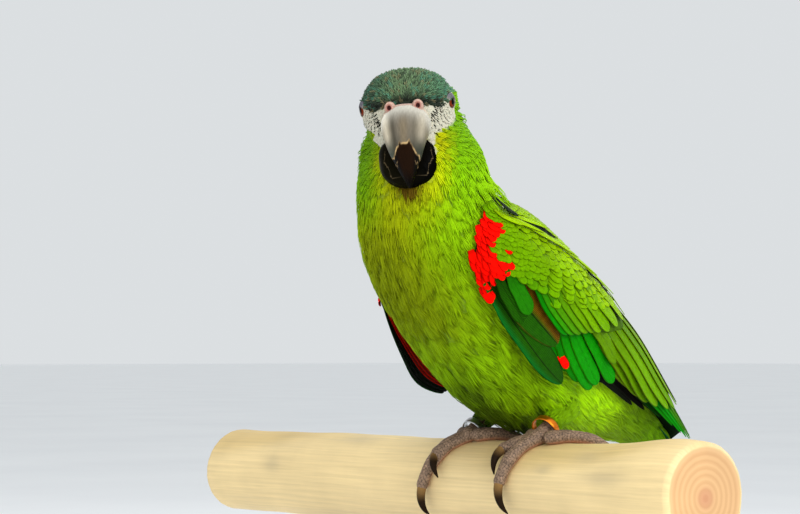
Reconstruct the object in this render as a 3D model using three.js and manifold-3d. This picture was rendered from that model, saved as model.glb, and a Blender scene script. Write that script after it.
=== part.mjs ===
// A life-size standing model of a red-shouldered macaw (Diopsittaca nobilis) on a short length of
// peeled branch, carried by a round display stand. Millimetres, +Z up. The bird faces -Y, its left
// side is +X, and the origin is the middle of the stand's underside.
import * as THREE from "three";
import { mergeVertices } from "three/addons/utils/BufferGeometryUtils.js";
import Module from "manifold-3d";

const wasm = await Module();
wasm.setup();

// Driving dimensions.
const GAP = 0.35; // clearance left between neighbouring solids
const PERCH_TOP = 150; // height of the branch's upper line above the floor
const PERCH_RADIUS = 20;
const PERCH_KNOB = 2.2; // how much the branch swells near its end beside the bird's left foot
const PERCH_TURN = -3; // degrees about Z, from the bird's left-right line
const PERCH_LEFT = 117; // branch length to the bird's left of its feet
const PERCH_RIGHT = 205; // and to its right
const FEET = [24, 0]; // midpoint between the feet, in X and Y
const STAND_RADIUS = 92;
const STAND_THICK = 12;
const STAND_BEVEL = 3;
const ROD_RADIUS = 4.5;
const ROD_SPREAD = 96;
const EYE_RADIUS = 4.3;
const TAIL_LENGTH = 134;
const TAIL_DROOP = 43; // degrees below level

// The body's sections from the throat to the rump, square to its long axis: the axis point forward of
// and above the feet, half the width, and the depth to the back and to the breast.
const BODY = [
  { forward: 60, up: 139, wide: 18, back: 18, front: 12 }, // inside the skull
  { forward: 55, up: 121, wide: 29.5, back: 26, front: 23 }, // throat
  { forward: 49, up: 104, wide: 32.5, back: 27.5, front: 33 }, // neck
  { forward: 40, up: 87, wide: 35.5, back: 29, front: 38.5 }, // breast
  { forward: 21, up: 70, wide: 37, back: 31, front: 43.5 }, // keel
  { forward: -4, up: 54, wide: 35, back: 29.5, front: 48.5 }, // belly
  { forward: -32, up: 37, wide: 28.5, back: 24.5, front: 41.5 }, // flank
  { forward: -57, up: 21, wide: 20, back: 18.5, front: 27 }, // vent
  { forward: -78, up: 7, wide: 14, back: 11.5, front: 13 }, // tail coverts
  { forward: -97, up: -7, wide: 10.5, back: 5.5, front: 4 }, // end of the tail coverts
];
const LAST = BODY.length - 1;

// Where the skull's centre is, and how the head is held: turned to the bird's left, nodding and rolling.
const HEAD = { forward: 62, left: 2, up: 141.5, turn: 43, nod: 8, roll: -5 };

// The skull's sections from the nape to the base of the bill, in the head's own frame.
const SKULL = [
  { at: -21, wide: 7, top: 6, bottom: -8 },
  { at: -17, wide: 13, top: 11.5, bottom: -14 },
  { at: -9, wide: 18.4, top: 15.6, bottom: -19.5 },
  { at: 0, wide: 19.8, top: 17, bottom: -21 },
  { at: 7, wide: 18.6, top: 15.6, bottom: -20.5 },
  { at: 13, wide: 15.4, top: 11.4, bottom: -18.5 },
  { at: 17, wide: 11.8, top: 6.4, bottom: -16 },
  { at: 18.6, wide: 8.8, top: 3, bottom: -12 },
];
const SKULL_FULLNESS = 0.86; // under 1 squares the skull's round sections a little

// The bill's upper half, whose rings stand square to a line that bends down to the hook.
const UPPER_BILL = [
  { forward: 10, up: -7, wide: 10.4, deep: 9 }, // inside the skull
  { forward: 18, up: -7, wide: 10.4, deep: 9 },
  { forward: 24.5, up: -10, wide: 9.4, deep: 8.2 },
  { forward: 28, up: -16, wide: 7.4, deep: 6.4 },
  { forward: 28.2, up: -23.5, wide: 4.6, deep: 4 },
  { forward: 26.5, up: -32, wide: 0.9, deep: 0.9 }, // point of the hook
];

// The bill's lower half: a short deep cup, whose rings stand square to the head's forward line.
const LOWER_BILL = [
  { forward: 8, wide: 12.4, top: -12, bottom: -27 }, // inside the throat
  { forward: 13, wide: 12.8, top: -12, bottom: -30.5 },
  { forward: 18, wide: 12.6, top: -13, bottom: -33 },
  { forward: 22.5, wide: 10.6, top: -17.5, bottom: -32.5 },
  { forward: 25, wide: 7.2, top: -23, bottom: -31.5 },
];

// Each wing is three shells that follow the body: the covered arm, the outer flight feathers that
// hang from the wrist, and the inner ones that reach over the tail. Along each shell from one station
// of the body to another, upper and lower are its edges in degrees from the back, under and lift are
// how far its inner and outer faces stand off the body, and swing is how far its lower edge hangs away.
const WING = {
  arm: {
    from: 2.45,
    to: 6.1,
    upper: [72, 34, 20, 14, 14, 22, 42],
    lower: [102, 120, 121, 112, 105, 92, 66],
    under: [0.9, 1.6, 3.6, 4.1, 4.3, 4.5, 4.6],
    lift: [2, 5, 7, 7.8, 8.2, 7.8, 6],
    swing: { left: [0, 0.2, 0.4, 0.4, 0, 0, 0], right: [0, 1, 3, 3, 1.5, 0, 0] },
  },
  outer: {
    from: 3.4,
    to: 5.4,
    upper: [112, 101, 100, 109, 120],
    lower: [119.5, 125, 128, 126.5, 123],
    under: [0.9, 0.9, 0.9, 0.9, 0.9],
    lift: [1.9, 2.6, 2.8, 2.6, 1.9],
    swing: { left: [0, 0.6, 1.2, 1.6, 1.4], right: [1, 5, 10, 14, 12] },
  },
  inner: {
    from: 4.3,
    to: 9,
    upper: [32, 22, 14, 9, 8, 14, 30],
    lower: [95, 98, 113, 102, 92, 68, 48],
    under: [0.9, 0.9, 0.9, 0.9, 0.9, 1.2, 1.4],
    lift: [2.8, 3.2, 3.5, 5, 6.4, 6, 4.6],
    swing: { left: [0, 0], right: [0, 0] },
  },
};

// Feet: where each ankle is along the branch from the bird's middle, and its toes. A toe ends so far
// along the branch from the ankle, and so many degrees round it from its top to the front, and its
// claw reaches on round the branch and along it.
const TOE_RADIUS = 2.9;
const ANKLE_ROUND = 16; // degrees from the branch's top to the front
const FEET_PARTS = {
  left: {
    ankle: 25,
    toes: [
      { name: "inner_front", reach: -12.5, round: 41, claw: 30, bend: 2.5 },
      { name: "outer_front", reach: -6.5, round: 81, claw: 31, bend: 4 },
      { name: "inner_back", reach: -17, round: -40, claw: 28, bend: -2 },
      { name: "outer_back", reach: 21, round: -46, claw: 30, bend: 2 },
    ],
  },
  right: {
    ankle: -20,
    toes: [
      { name: "inner_front", reach: -8.5, round: 52, claw: 26, bend: 7 },
      { name: "outer_front", reach: -12.5, round: 90, claw: 31, bend: 1 },
      { name: "inner_back", reach: 15, round: -36, claw: 28, bend: 2 },
      { name: "outer_back", reach: -18, round: -48, claw: 30, bend: -2 },
    ],
  },
};
const BANDS = {
  left: { radius: 5.5, width: 3.4, thick: 0.7, height: 9.7, material: "copper" },
  right: { radius: 4.9, width: 3, thick: 0.7, height: 8.3, material: "silver" },
};

// ---- Numbers and points ----

const rad = THREE.MathUtils.degToRad;
const clamp = THREE.MathUtils.clamp;

// A smooth value at a fractional place in a list of numbers.
function between(values, place) {
  const spot = clamp(place, 0, values.length - 1);
  const i = Math.min(Math.floor(spot), values.length - 2);
  const [a, b, c, d] = [i - 1, i, i + 1, i + 2].map((k) => values[clamp(k, 0, values.length - 1)]);
  const t = spot - i;
  return b + 0.5 * t * (c - a + t * (2 * a - 5 * b + 4 * c - d + t * (3 * (b - c) + d - a)));
}

// A smooth value of one field at a fractional place in a table.
const lookUp = (rows, name, place) => between(rows.map((row) => row[name]), place);

// A point of the bird from its distances forward, left and up of the feet.
const birdPoint = (forward, left, up) => new THREE.Vector3(FEET[0] + left, FEET[1] - forward, PERCH_TOP + up);
const sideSign = { left: 1, right: -1 };

// ---- Solids ----

function solidOf(geometry) {
  const bare = geometry.index ? geometry.toNonIndexed() : geometry.clone();
  bare.deleteAttribute("normal");
  bare.deleteAttribute("uv");
  const merged = mergeVertices(bare, 1e-4);
  const made = new wasm.Manifold(
    new wasm.Mesh({
      numProp: 3,
      vertProperties: new Float32Array(merged.attributes.position.array),
      triVerts: new Uint32Array(merged.index.array),
    }),
  );
  return made;
}

function geometryOf(solid) {
  const mesh = solid.getMesh();
  const geometry = new THREE.BufferGeometry();
  geometry.setAttribute("position", new THREE.BufferAttribute(new Float32Array(mesh.vertProperties), 3));
  geometry.setIndex(new THREE.BufferAttribute(new Uint32Array(mesh.triVerts), 1));
  geometry.computeVertexNormals();
  return geometry;
}

// Turns a triangle list the right way out and makes a solid of it.
function closed(points, triangles) {
  let volume = 0;
  for (const [a, b, c] of triangles) {
    volume += points[a].dot(new THREE.Vector3().crossVectors(points[b], points[c]));
  }
  const index = volume < 0 ? triangles.map(([a, b, c]) => [a, c, b]) : triangles;
  const geometry = new THREE.BufferGeometry().setFromPoints(points);
  geometry.setIndex(index.flat());
  return solidOf(geometry);
}

// A closed solid through rings of equally many points, with a flat fan at each end.
function loft(rings) {
  const count = rings[0].length;
  const points = rings.flat();
  const triangles = [];
  for (let i = 0; i < rings.length - 1; i++) {
    for (let j = 0; j < count; j++) {
      const [a, b] = [i * count + j, i * count + ((j + 1) % count)];
      triangles.push([a, b, b + count], [a, b + count, a + count]);
    }
  }
  for (const [ring, start] of [[rings[0], 0], [rings.at(-1), (rings.length - 1) * count]]) {
    const centre = ring.reduce((sum, p) => sum.add(p), new THREE.Vector3()).divideScalar(count);
    const middle = points.push(centre) - 1;
    for (let j = 0; j < count; j++) {
      const pair = [start + j, start + ((j + 1) % count)];
      triangles.push(start ? [pair[0], pair[1], middle] : [pair[1], pair[0], middle]);
    }
  }
  return closed(points, triangles);
}

// A thick curved sheet: pointAt(i, j, side) gives a grid point of its outer (1) or inner (0) face.
function sheet(rows, columns, pointAt) {
  const points = [];
  const at = (i, j, side) => (side * (rows + 1) + i) * (columns + 1) + j;
  for (const side of [0, 1]) {
    for (let i = 0; i <= rows; i++) {
      for (let j = 0; j <= columns; j++) points.push(pointAt(i, j, side));
    }
  }
  const triangles = [];
  const quad = (a, b, c, d) => triangles.push([a, b, c], [a, c, d]);
  for (let i = 0; i < rows; i++) {
    for (let j = 0; j < columns; j++) {
      quad(at(i, j, 1), at(i + 1, j, 1), at(i + 1, j + 1, 1), at(i, j + 1, 1));
      quad(at(i, j, 0), at(i, j + 1, 0), at(i + 1, j + 1, 0), at(i + 1, j, 0));
    }
    quad(at(i, 0, 0), at(i + 1, 0, 0), at(i + 1, 0, 1), at(i, 0, 1));
    quad(at(i, columns, 1), at(i + 1, columns, 1), at(i + 1, columns, 0), at(i, columns, 0));
  }
  for (let j = 0; j < columns; j++) {
    quad(at(0, j, 1), at(0, j + 1, 1), at(0, j + 1, 0), at(0, j, 0));
    quad(at(rows, j, 0), at(rows, j + 1, 0), at(rows, j + 1, 1), at(rows, j, 1));
  }
  return closed(points, triangles);
}

// A round tube along a smooth line, with a radius at each of its points and a bevelled end.
const DOME = 0.75; // how far each end reaches beyond the line, in radii
function tube(line, radii, { sides, steps, grow }) {
  const curve = new THREE.CatmullRomCurve3(line, false, "centripetal");
  const frames = curve.computeFrenetFrames(steps, false);
  const rings = [];
  const ring = (centre, i, radius) => {
    const [side, up] = [frames.normals[i], frames.binormals[i]];
    const points = [];
    for (let j = 0; j < sides; j++) {
      const angle = (j / sides) * 2 * Math.PI;
      const offset = side.clone().multiplyScalar(Math.cos(angle) * radius);
      points.push(centre.clone().add(offset).addScaledVector(up, Math.sin(angle) * radius));
    }
    return points;
  };
  const radiusAt = (t) => between(radii, t * (radii.length - 1)) + grow;
  for (let i = 0; i <= steps; i++) {
    const t = i / steps;
    const centre = curve.getPointAt(t);
    const radius = radiusAt(t);
    if (i === 0) {
      const back = centre.clone().addScaledVector(frames.tangents[0], -radius * DOME);
      rings.push(ring(back, 0, radius * Math.sqrt(1 - DOME ** 2)));
    }
    rings.push(ring(centre, i, radius));
    if (i === steps) {
      const on = centre.clone().addScaledVector(frames.tangents[steps], radius * DOME);
      rings.push(ring(on, steps, radius * Math.sqrt(1 - DOME ** 2)));
    }
  }
  return loft(rings);
}

// ---- The body's surface ----

// The axis point and the section's directions at a fractional station of BODY.
function bodyFrame(station) {
  const spot = (s) => birdPoint(lookUp(BODY, "forward", s), 0, lookUp(BODY, "up", s));
  const [before, after] = [station - 0.2, station + 0.2].map((s) => spot(clamp(s, 0, LAST)));
  const along = after.sub(before).normalize();
  const left = new THREE.Vector3(1, 0, 0);
  const back = new THREE.Vector3().crossVectors(left, along).normalize();
  return { centre: spot(station), along, left, back };
}

// A point on the body, raised off it by lift. Angle 0 is the back, 90 the bird's left, 180 the breast.
function bodySurface(station, angle, lift = 0) {
  const { centre, left, back } = bodyFrame(station);
  const turn = rad(angle);
  const depth = lookUp(BODY, Math.cos(turn) > 0 ? "back" : "front", station) + lift;
  const wide = lookUp(BODY, "wide", station) + lift;
  return centre.addScaledVector(back, Math.cos(turn) * depth).addScaledVector(left, Math.sin(turn) * wide);
}

function bodySolid(first, last, grow = 0) {
  const rings = [];
  const [steps, sides] = [Math.round((last - first) * 2), 20];
  for (let i = 0; i <= steps; i++) {
    const station = first + ((last - first) * i) / steps;
    const ring = [];
    for (let j = 0; j < sides; j++) ring.push(bodySurface(station, (j / sides) * 360, grow));
    rings.push(ring);
  }
  return loft(rings);
}

// ---- The head ----

const headFrame = new THREE.Matrix4();
{
  const turned = new THREE.Euler(rad(HEAD.nod), rad(HEAD.roll), rad(HEAD.turn), "ZXY");
  headFrame.makeRotationFromEuler(turned);
  headFrame.setPosition(birdPoint(HEAD.forward, HEAD.left, HEAD.up));
}
// A point given in the head's own frame: forward to the bill, left and up.
const headPoint = (forward, left, up) => new THREE.Vector3(left, -forward, up).applyMatrix4(headFrame);

function skullSolid() {
  const rings = [];
  const [steps, sides] = [12, 18];
  const squared = (value) => Math.sign(value) * Math.abs(value) ** SKULL_FULLNESS;
  for (let i = 0; i <= steps; i++) {
    const place = (i / steps) * (SKULL.length - 1);
    const size = (name) => lookUp(SKULL, name, place);
    const ring = [];
    for (let j = 0; j < sides; j++) {
      const angle = (j / sides) * 2 * Math.PI;
      const [across, upright] = [squared(Math.sin(angle)), squared(Math.cos(angle))];
      const height = upright > 0 ? size("top") : -size("bottom");
      ring.push(headPoint(size("at"), across * size("wide"), upright * height));
    }
    rings.push(ring);
  }
  return loft(rings);
}

function upperBill(grow = 0) {
  const rings = [];
  const [steps, sides] = [11, 12];
  const last = UPPER_BILL.length - 1;
  const axis = (place) => new THREE.Vector2(
    lookUp(UPPER_BILL, "forward", place),
    lookUp(UPPER_BILL, "up", place),
  );
  for (let i = 0; i <= steps; i++) {
    const place = (i / steps) * last;
    const here = axis(place);
    const run = axis(Math.min(place + 0.1, last)).sub(axis(Math.max(place - 0.1, 0))).normalize();
    const wide = lookUp(UPPER_BILL, "wide", place) + grow;
    const deep = lookUp(UPPER_BILL, "deep", place) + grow;
    const ring = [];
    for (let j = 0; j < sides; j++) {
      const angle = (j / sides) * 2 * Math.PI;
      const out = Math.cos(angle) * deep;
      const side = Math.sign(Math.sin(angle)) * Math.abs(Math.sin(angle)) ** 0.8 * wide;
      ring.push(headPoint(here.x - run.y * out, side, here.y + run.x * out));
    }
    rings.push(ring);
  }
  return loft(rings);
}

function lowerBill(grow = 0) {
  const rings = [];
  const [steps, sides] = [6, 12];
  for (let i = 0; i <= steps; i++) {
    const place = (i / steps) * (LOWER_BILL.length - 1);
    const [top, bottom] = [lookUp(LOWER_BILL, "top", place), lookUp(LOWER_BILL, "bottom", place)];
    const wide = lookUp(LOWER_BILL, "wide", place) + grow;
    const half = (top - bottom) / 2 + grow;
    const ring = [];
    for (let j = 0; j < sides; j++) {
      const angle = (j / sides) * 2 * Math.PI;
      const height = (top + bottom) / 2 + Math.cos(angle) * half;
      ring.push(headPoint(lookUp(LOWER_BILL, "forward", place), Math.sin(angle) * wide, height));
    }
    rings.push(ring);
  }
  return loft(rings);
}

function ball(centre, radius) {
  const geometry = new THREE.SphereGeometry(radius, 10, 6);
  geometry.translate(centre.x, centre.y, centre.z);
  return solidOf(geometry);
}

const eyeCentre = (side) => headPoint(4, sideSign[side] * 15.8, 1.2);

// ---- Wings ----

const RIM = 0.6; // thickness of a shell at its very edge
function wingShell(side, { from, to, upper, lower, under, lift, swing }) {
  const [rows, columns] = [9, 6];
  return sheet(rows, columns, (i, j, face) => {
    const along = i / rows;
    const across = j / columns;
    const size = (list) => between(list, along * (list.length - 1));
    const angle = size(upper) + (size(lower) - size(upper)) * across;
    const crown = 0.35 + 0.65 * (1 - Math.abs(2 * across - 1) ** 3);
    const inside = size(under) + size(swing[side]) * across ** 2;
    const thick = RIM + (size(lift) - size(under) - RIM) * crown;
    return bodySurface(from + (to - from) * along, sideSign[side] * angle, inside + face * thick);
  });
}

// ---- Legs ----

// Directions of the branch: along it towards the bird's left, and square to it towards the front.
const turned = new THREE.Euler(0, 0, rad(PERCH_TURN));
const perchAlong = new THREE.Vector3(1, 0, 0).applyEuler(turned);
const perchFront = new THREE.Vector3(0, -1, 0).applyEuler(turned);

// A point over the branch: along it from the feet's midpoint, round it from its top to the front, and out.
function perchPoint(along, round, out) {
  const radius = PERCH_RADIUS + out;
  return birdPoint(0, 0, -PERCH_RADIUS)
    .addScaledVector(perchAlong, along)
    .addScaledVector(perchFront, Math.sin(rad(round)) * radius)
    .setZ(PERCH_TOP - PERCH_RADIUS + Math.cos(rad(round)) * radius);
}

const ankle = (side) => perchPoint(FEET_PARTS[side].ankle, ANKLE_ROUND, TOE_RADIUS + 0.5);
const heel = (side) => birdPoint(-14, sideSign[side] * 21.5, 15.5);

function toeSolid(side, toe, grow = 0) {
  const spread = toe.round < 0 ? 0.4 : 0.8; // the back toes part at once, to either side of the shank
  const line = [0.05, 0.3, 0.6, 0.82, 1].map((t) => {
    const out = TOE_RADIUS + GAP + 0.9 * Math.sin(Math.PI * t);
    const round = ANKLE_ROUND + (toe.round - ANKLE_ROUND) * t;
    return perchPoint(FEET_PARTS[side].ankle + toe.reach * t ** spread, round, out);
  });
  const radii = [1.12, 1.08, 1, 0.94, 0.86].map((part) => part * TOE_RADIUS);
  return tube(line, radii, { grow, sides: 6, steps: 4 });
}

function clawSolid(side, toe, grow = 0) {
  const start = FEET_PARTS[side].ankle + toe.reach;
  const line = [0, 0.4, 0.75, 1].map((t) => {
    const out = TOE_RADIUS + GAP + 2.4 * Math.sin(t * 2.4) - 1.3 * t;
    return perchPoint(start + toe.bend * t, toe.round + Math.sign(toe.round) * (2 + toe.claw * t), out);
  });
  return tube(line, [1.9, 1.7, 1.1, 0.35], { grow, sides: 5, steps: 4 });
}

// The ankle and its four toes, two to the front and two to the back, with sockets for the claws.
function footSolid(side, grow = 0) {
  let foot = ball(ankle(side), TOE_RADIUS + 0.7 + grow);
  for (const toe of FEET_PARTS[side].toes) foot = foot.add(toeSolid(side, toe, grow));
  return foot;
}

function shankSolid(side, grow = 0) {
  const [top, bottom] = [heel(side), ankle(side)];
  const line = [top, top.clone().lerp(bottom, 0.55), bottom];
  return tube(line, [3.1, 2.8, 3.2], { grow, sides: 8, steps: 3 });
}

function thighSolid(side, grow = 0) {
  const line = [[4, 15, 44], [3, 16.5, 30], [-6, 22, 18.5]].map(([forward, left, up]) =>
    birdPoint(forward, sideSign[side] * left, up),
  );
  return tube(line, [14.5, 12.5, 8.5], { grow, sides: 10, steps: 4 });
}

// A leg band: a short open ring that hangs loose round the shank.
function bandSolid(side) {
  const { radius, width, thick, height } = BANDS[side];
  const [inner, half] = [radius - thick, width / 2];
  const wall = [[inner, -half], [radius, -half], [radius, half], [inner, half], [inner, -half]];
  const geometry = new THREE.LatheGeometry(wall.map(([r, y]) => new THREE.Vector2(r, y)), 16);
  const up = heel(side).sub(ankle(side)).normalize();
  geometry.applyQuaternion(new THREE.Quaternion().setFromUnitVectors(new THREE.Vector3(0, 1, 0), up));
  const centre = ankle(side).addScaledVector(up, height);
  return solidOf(geometry.translate(centre.x, centre.y, centre.z));
}

// ---- Tail ----

// The closed tail: a long leaf with a low ridge, which droops from the rump.
function tailSolid() {
  const run = birdPoint(-Math.cos(rad(TAIL_DROOP)), 0, -Math.sin(rad(TAIL_DROOP))).sub(birdPoint(0, 0, 0));
  const up = new THREE.Vector3().crossVectors(run, new THREE.Vector3(1, 0, 0)).normalize();
  const halves = [8, 12, 14, 13.5, 11, 7.5, 1.8];
  const section = [[-1, 0], [-0.5, 0.75], [0, 1], [0.5, 0.75], [1, 0], [0.9, -0.5], [0, -0.4], [-0.9, -0.5]];
  const rings = [];
  const steps = 10;
  for (let i = 0; i <= steps; i++) {
    const t = i / steps;
    const centre = bodyFrame(7.9).centre.addScaledVector(run, t * TAIL_LENGTH);
    const half = between(halves, t * (halves.length - 1));
    const thick = 2.6 - 1.6 * t;
    const ridge = 3.2 - 1.6 * t;
    rings.push(section.map(([x, z]) =>
      centre.clone().add(new THREE.Vector3(x * half, 0, 0)).addScaledVector(up, z * thick + ridge * (1 - x * x)),
    ));
  }
  return loft(rings);
}

// ---- Branch and stand ----

// The branch: round, a little lumpy away from the feet, and swollen near its left end.
function perchSolid(grow = 0) {
  const rings = [];
  const [steps, sides] = [14, 16];
  for (let i = 0; i <= steps; i++) {
    const along = -PERCH_RIGHT + ((PERCH_LEFT + PERCH_RIGHT) * i) / steps;
    const knob = PERCH_KNOB * Math.exp(-(((along - PERCH_LEFT + 12) / 30) ** 2));
    const trim = i === 0 || i === steps ? -1.6 : 0;
    const lumps = Math.abs(along) > 55 ? 0.35 : 0;
    const ring = [];
    for (let j = 0; j < sides; j++) {
      const angle = (j / sides) * 360;
      const lump = lumps * Math.sin(along / 23 + 2 * rad(angle));
      const swell = knob * (1 + 0.8 * Math.max(0, Math.cos(rad(angle))));
      ring.push(perchPoint(along, angle, trim + lump + swell + grow));
    }
    rings.push(ring);
  }
  return loft(rings);
}

function standBase() {
  const [rim, top] = [STAND_RADIUS, STAND_THICK];
  const profile = [[0, 0], [rim, 0], [rim, top - STAND_BEVEL], [rim - STAND_BEVEL, top], [0, top]];
  const geometry = new THREE.LatheGeometry(profile.map(([r, z]) => new THREE.Vector2(r, z)), 40);
  return solidOf(geometry.rotateX(Math.PI / 2));
}

// A rod from the stand up to the branch's underside, cut to fit round it.
function standRod(x) {
  const foot = STAND_THICK + GAP;
  const height = PERCH_TOP - 1.7 * PERCH_RADIUS - foot;
  const geometry = new THREE.CylinderGeometry(ROD_RADIUS, ROD_RADIUS, height, 12);
  const y = birdPoint(0, 0, 0).addScaledVector(perchAlong, (x - FEET[0]) / perchAlong.x).y;
  geometry.rotateX(Math.PI / 2).translate(x, y, foot + height / 2);
  return solidOf(geometry).subtract(perchSolid(GAP));
}

// ---- The bird, piece by piece ----

const COLOURS = {
  green: { color: 0x6f9f10, roughness: 0.8 },
  crown: { color: 0x2f6a52, roughness: 0.8 },
  wing: { color: 0x3f9a1c, roughness: 0.6 },
  tail: { color: 0x3c8a1c, roughness: 0.6 },
  horn: { color: 0x8a8a86, roughness: 0.35 },
  dark: { color: 0x1d1612, roughness: 0.3 },
  eye: { color: 0x8a3a1a, roughness: 0.1 },
  foot: { color: 0x6a5f5c, roughness: 0.7 },
  wood: { color: 0xd9bf86, roughness: 0.65 },
  stand: { color: 0x2b2b2d, roughness: 0.4 },
  steel: { color: 0xb9bcc0, roughness: 0.25, metalness: 1 },
  copper: { color: 0xd8641c, roughness: 0.25, metalness: 0.9 },
  silver: { color: 0xd8dadb, roughness: 0.35, metalness: 0.4 },
};
const materials = {};
for (const [name, look] of Object.entries(COLOURS)) materials[name] = new THREE.MeshStandardMaterial(look);

const bird = new THREE.Group();
function add(name, solid, material) {
  const mesh = new THREE.Mesh(geometryOf(solid), materials[material].clone());
  mesh.name = name;
  bird.add(mesh);
}

// Splits a solid with a thin cut square to the body's axis, into what lies ahead and behind.
function parted(solid, station) {
  const { centre, along } = bodyFrame(station);
  const offset = centre.dot(along);
  const behind = solid.trimByPlane(along.toArray(), offset + GAP / 2);
  const ahead = solid.trimByPlane(along.clone().negate().toArray(), -offset + GAP / 2);
  return [ahead, behind];
}

// The flesh is one form, parted where the head, neck, trunk and rump meet.
const flesh = bodySolid(0, LAST).add(skullSolid());
const [headPart, belowHead] = parted(flesh, 1.15);
const [neckPart, belowNeck] = parted(belowHead, 2.4);
const [trunkPart, rumpPart] = parted(belowNeck, 7.2);
let head = headPart.subtract(upperBill(GAP)).subtract(lowerBill(GAP));
let trunk = trunkPart;
for (const side of ["left", "right"]) {
  head = head.subtract(ball(eyeCentre(side), EYE_RADIUS + GAP));
  for (const legPart of [thighSolid, shankSolid, footSolid]) trunk = trunk.subtract(legPart(side, GAP));
}
add("head", head, "crown");
add("neck", neckPart.subtract(lowerBill(GAP)), "green");
add("trunk", trunk, "green");
add("rump", rumpPart, "green");
add("tail", tailSolid().subtract(bodySolid(5, LAST, GAP)), "tail");
add("bill_upper", upperBill(), "horn");
add("bill_lower", lowerBill().subtract(upperBill(GAP)), "dark");

for (const side of ["left", "right"]) {
  add("eye_" + side, ball(eyeCentre(side), EYE_RADIUS), "eye");
  add("wing_" + side + "_arm", wingShell(side, WING.arm), "wing");
  add("wing_" + side + "_outer", wingShell(side, WING.outer), "wing");
  add("wing_" + side + "_inner", wingShell(side, WING.inner), "wing");

  let foot = footSolid(side);
  for (const toe of FEET_PARTS[side].toes) {
    foot = foot.subtract(clawSolid(side, toe, GAP));
    add("claw_" + side + "_" + toe.name, clawSolid(side, toe), "dark");
  }
  add("foot_" + side, foot, "foot");
  add("shank_" + side, shankSolid(side).subtract(footSolid(side, GAP)), "foot");
  add("thigh_" + side, thighSolid(side).subtract(shankSolid(side, GAP)), "green");
  add("band_" + side, bandSolid(side), BANDS[side].material);
}

add("perch", perchSolid(), "wood");
add("stand_base", standBase(), "stand");
add("stand_rod_left", standRod(ROD_SPREAD / 2), "steel");
add("stand_rod_right", standRod(-ROD_SPREAD / 2), "steel");

export default bird;
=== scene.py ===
"""A life-size red-shouldered macaw (Diopsittaca nobilis) on a cut length of peeled branch and a stand.

Shapes are worked out in millimetres in the model's own frame and turned into metres as each piece is
made: +Z up, the bird faces -Y, its left side is +X, the origin is the middle of the stand's underside.
"""
import math

import bpy
import numpy as np
from mathutils import Matrix, Vector, kdtree
from mathutils.bvhtree import BVHTree


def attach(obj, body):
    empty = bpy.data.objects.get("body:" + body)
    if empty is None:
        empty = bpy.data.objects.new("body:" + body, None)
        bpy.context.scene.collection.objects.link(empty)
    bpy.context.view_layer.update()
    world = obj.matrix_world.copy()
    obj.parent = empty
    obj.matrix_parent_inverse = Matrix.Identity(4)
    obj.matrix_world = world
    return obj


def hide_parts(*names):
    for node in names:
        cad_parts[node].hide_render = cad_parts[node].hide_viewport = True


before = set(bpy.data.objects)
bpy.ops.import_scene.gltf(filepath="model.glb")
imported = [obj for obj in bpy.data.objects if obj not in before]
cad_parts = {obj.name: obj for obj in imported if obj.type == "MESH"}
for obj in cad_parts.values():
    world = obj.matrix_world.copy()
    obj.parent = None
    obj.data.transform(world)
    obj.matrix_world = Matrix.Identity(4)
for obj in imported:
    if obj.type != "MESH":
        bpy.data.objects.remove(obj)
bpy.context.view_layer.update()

MM = 0.001
chance = np.random.default_rng(20)

# ---- Driving dimensions, the same as the solids' ----

PERCH_TOP = 150.0
PERCH_RADIUS = 20.0
PERCH_KNOB = 2.2
PERCH_TURN = -3.0
PERCH_LEFT = 117.0
PERCH_RIGHT = 205.0
FEET = (24.0, 0.0)
STAND_RADIUS = 92.0
STAND_THICK = 12.0
ROD_RADIUS = 4.5
ROD_SPREAD = 96.0
EYE_RADIUS = 4.3
TAIL_LENGTH = 134.0
TAIL_DROOP = 43.0

# The body's sections from the throat to the rump: the axis forward of and above the feet, half the
# width, and the depth to the back and to the breast.
BODY = {
    "forward": [60, 55, 49, 40, 21, -4, -32, -57, -78, -97],
    "up": [139, 121, 104, 87, 70, 54, 37, 21, 7, -7],
    "wide": [18, 29.5, 32.5, 35.5, 37, 35, 28.5, 20, 14, 10.5],
    "back": [18, 26, 27.5, 29, 31, 29.5, 24.5, 18.5, 11.5, 5.5],
    "front": [12, 23, 33, 38.5, 43.5, 48.5, 41.5, 27, 13, 4],
}
LAST = len(BODY["up"]) - 1

HEAD = {"forward": 62, "left": 2, "up": 141.5, "turn": 43, "nod": 8, "roll": -5}

# The skull's sections from the nape to the base of the bill, in the head's own frame.
SKULL = {
    "at": [-21, -17, -9, 0, 7, 13, 17, 18.6],
    "wide": [7, 13, 18.4, 19.8, 18.6, 15.4, 11.8, 8.8],
    "top": [6, 11.5, 15.6, 17, 15.6, 11.4, 6.4, 3],
    "bottom": [-8, -14, -19.5, -21, -20.5, -18.5, -16, -12],
}
SKULL_FULLNESS = 0.86

UPPER_BILL = {
    "forward": [10, 18, 24.5, 28, 28.2, 26.5],
    "up": [-7, -7, -10, -16, -23.5, -32],
    "wide": [10.4, 10.4, 9.4, 7.4, 4.6, 0.9],
    "deep": [9, 9, 8.2, 6.4, 4, 0.9],
}
LOWER_BILL = {
    "forward": [8, 13, 18, 22.5, 25],
    "wide": [12.4, 12.8, 12.6, 10.6, 7.2],
    "top": [-12, -12, -13, -17.5, -23],
    "bottom": [-27, -30.5, -33, -32.5, -31.5],
}

TOE_RADIUS = 2.9
ANKLE_ROUND = 16.0
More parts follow.
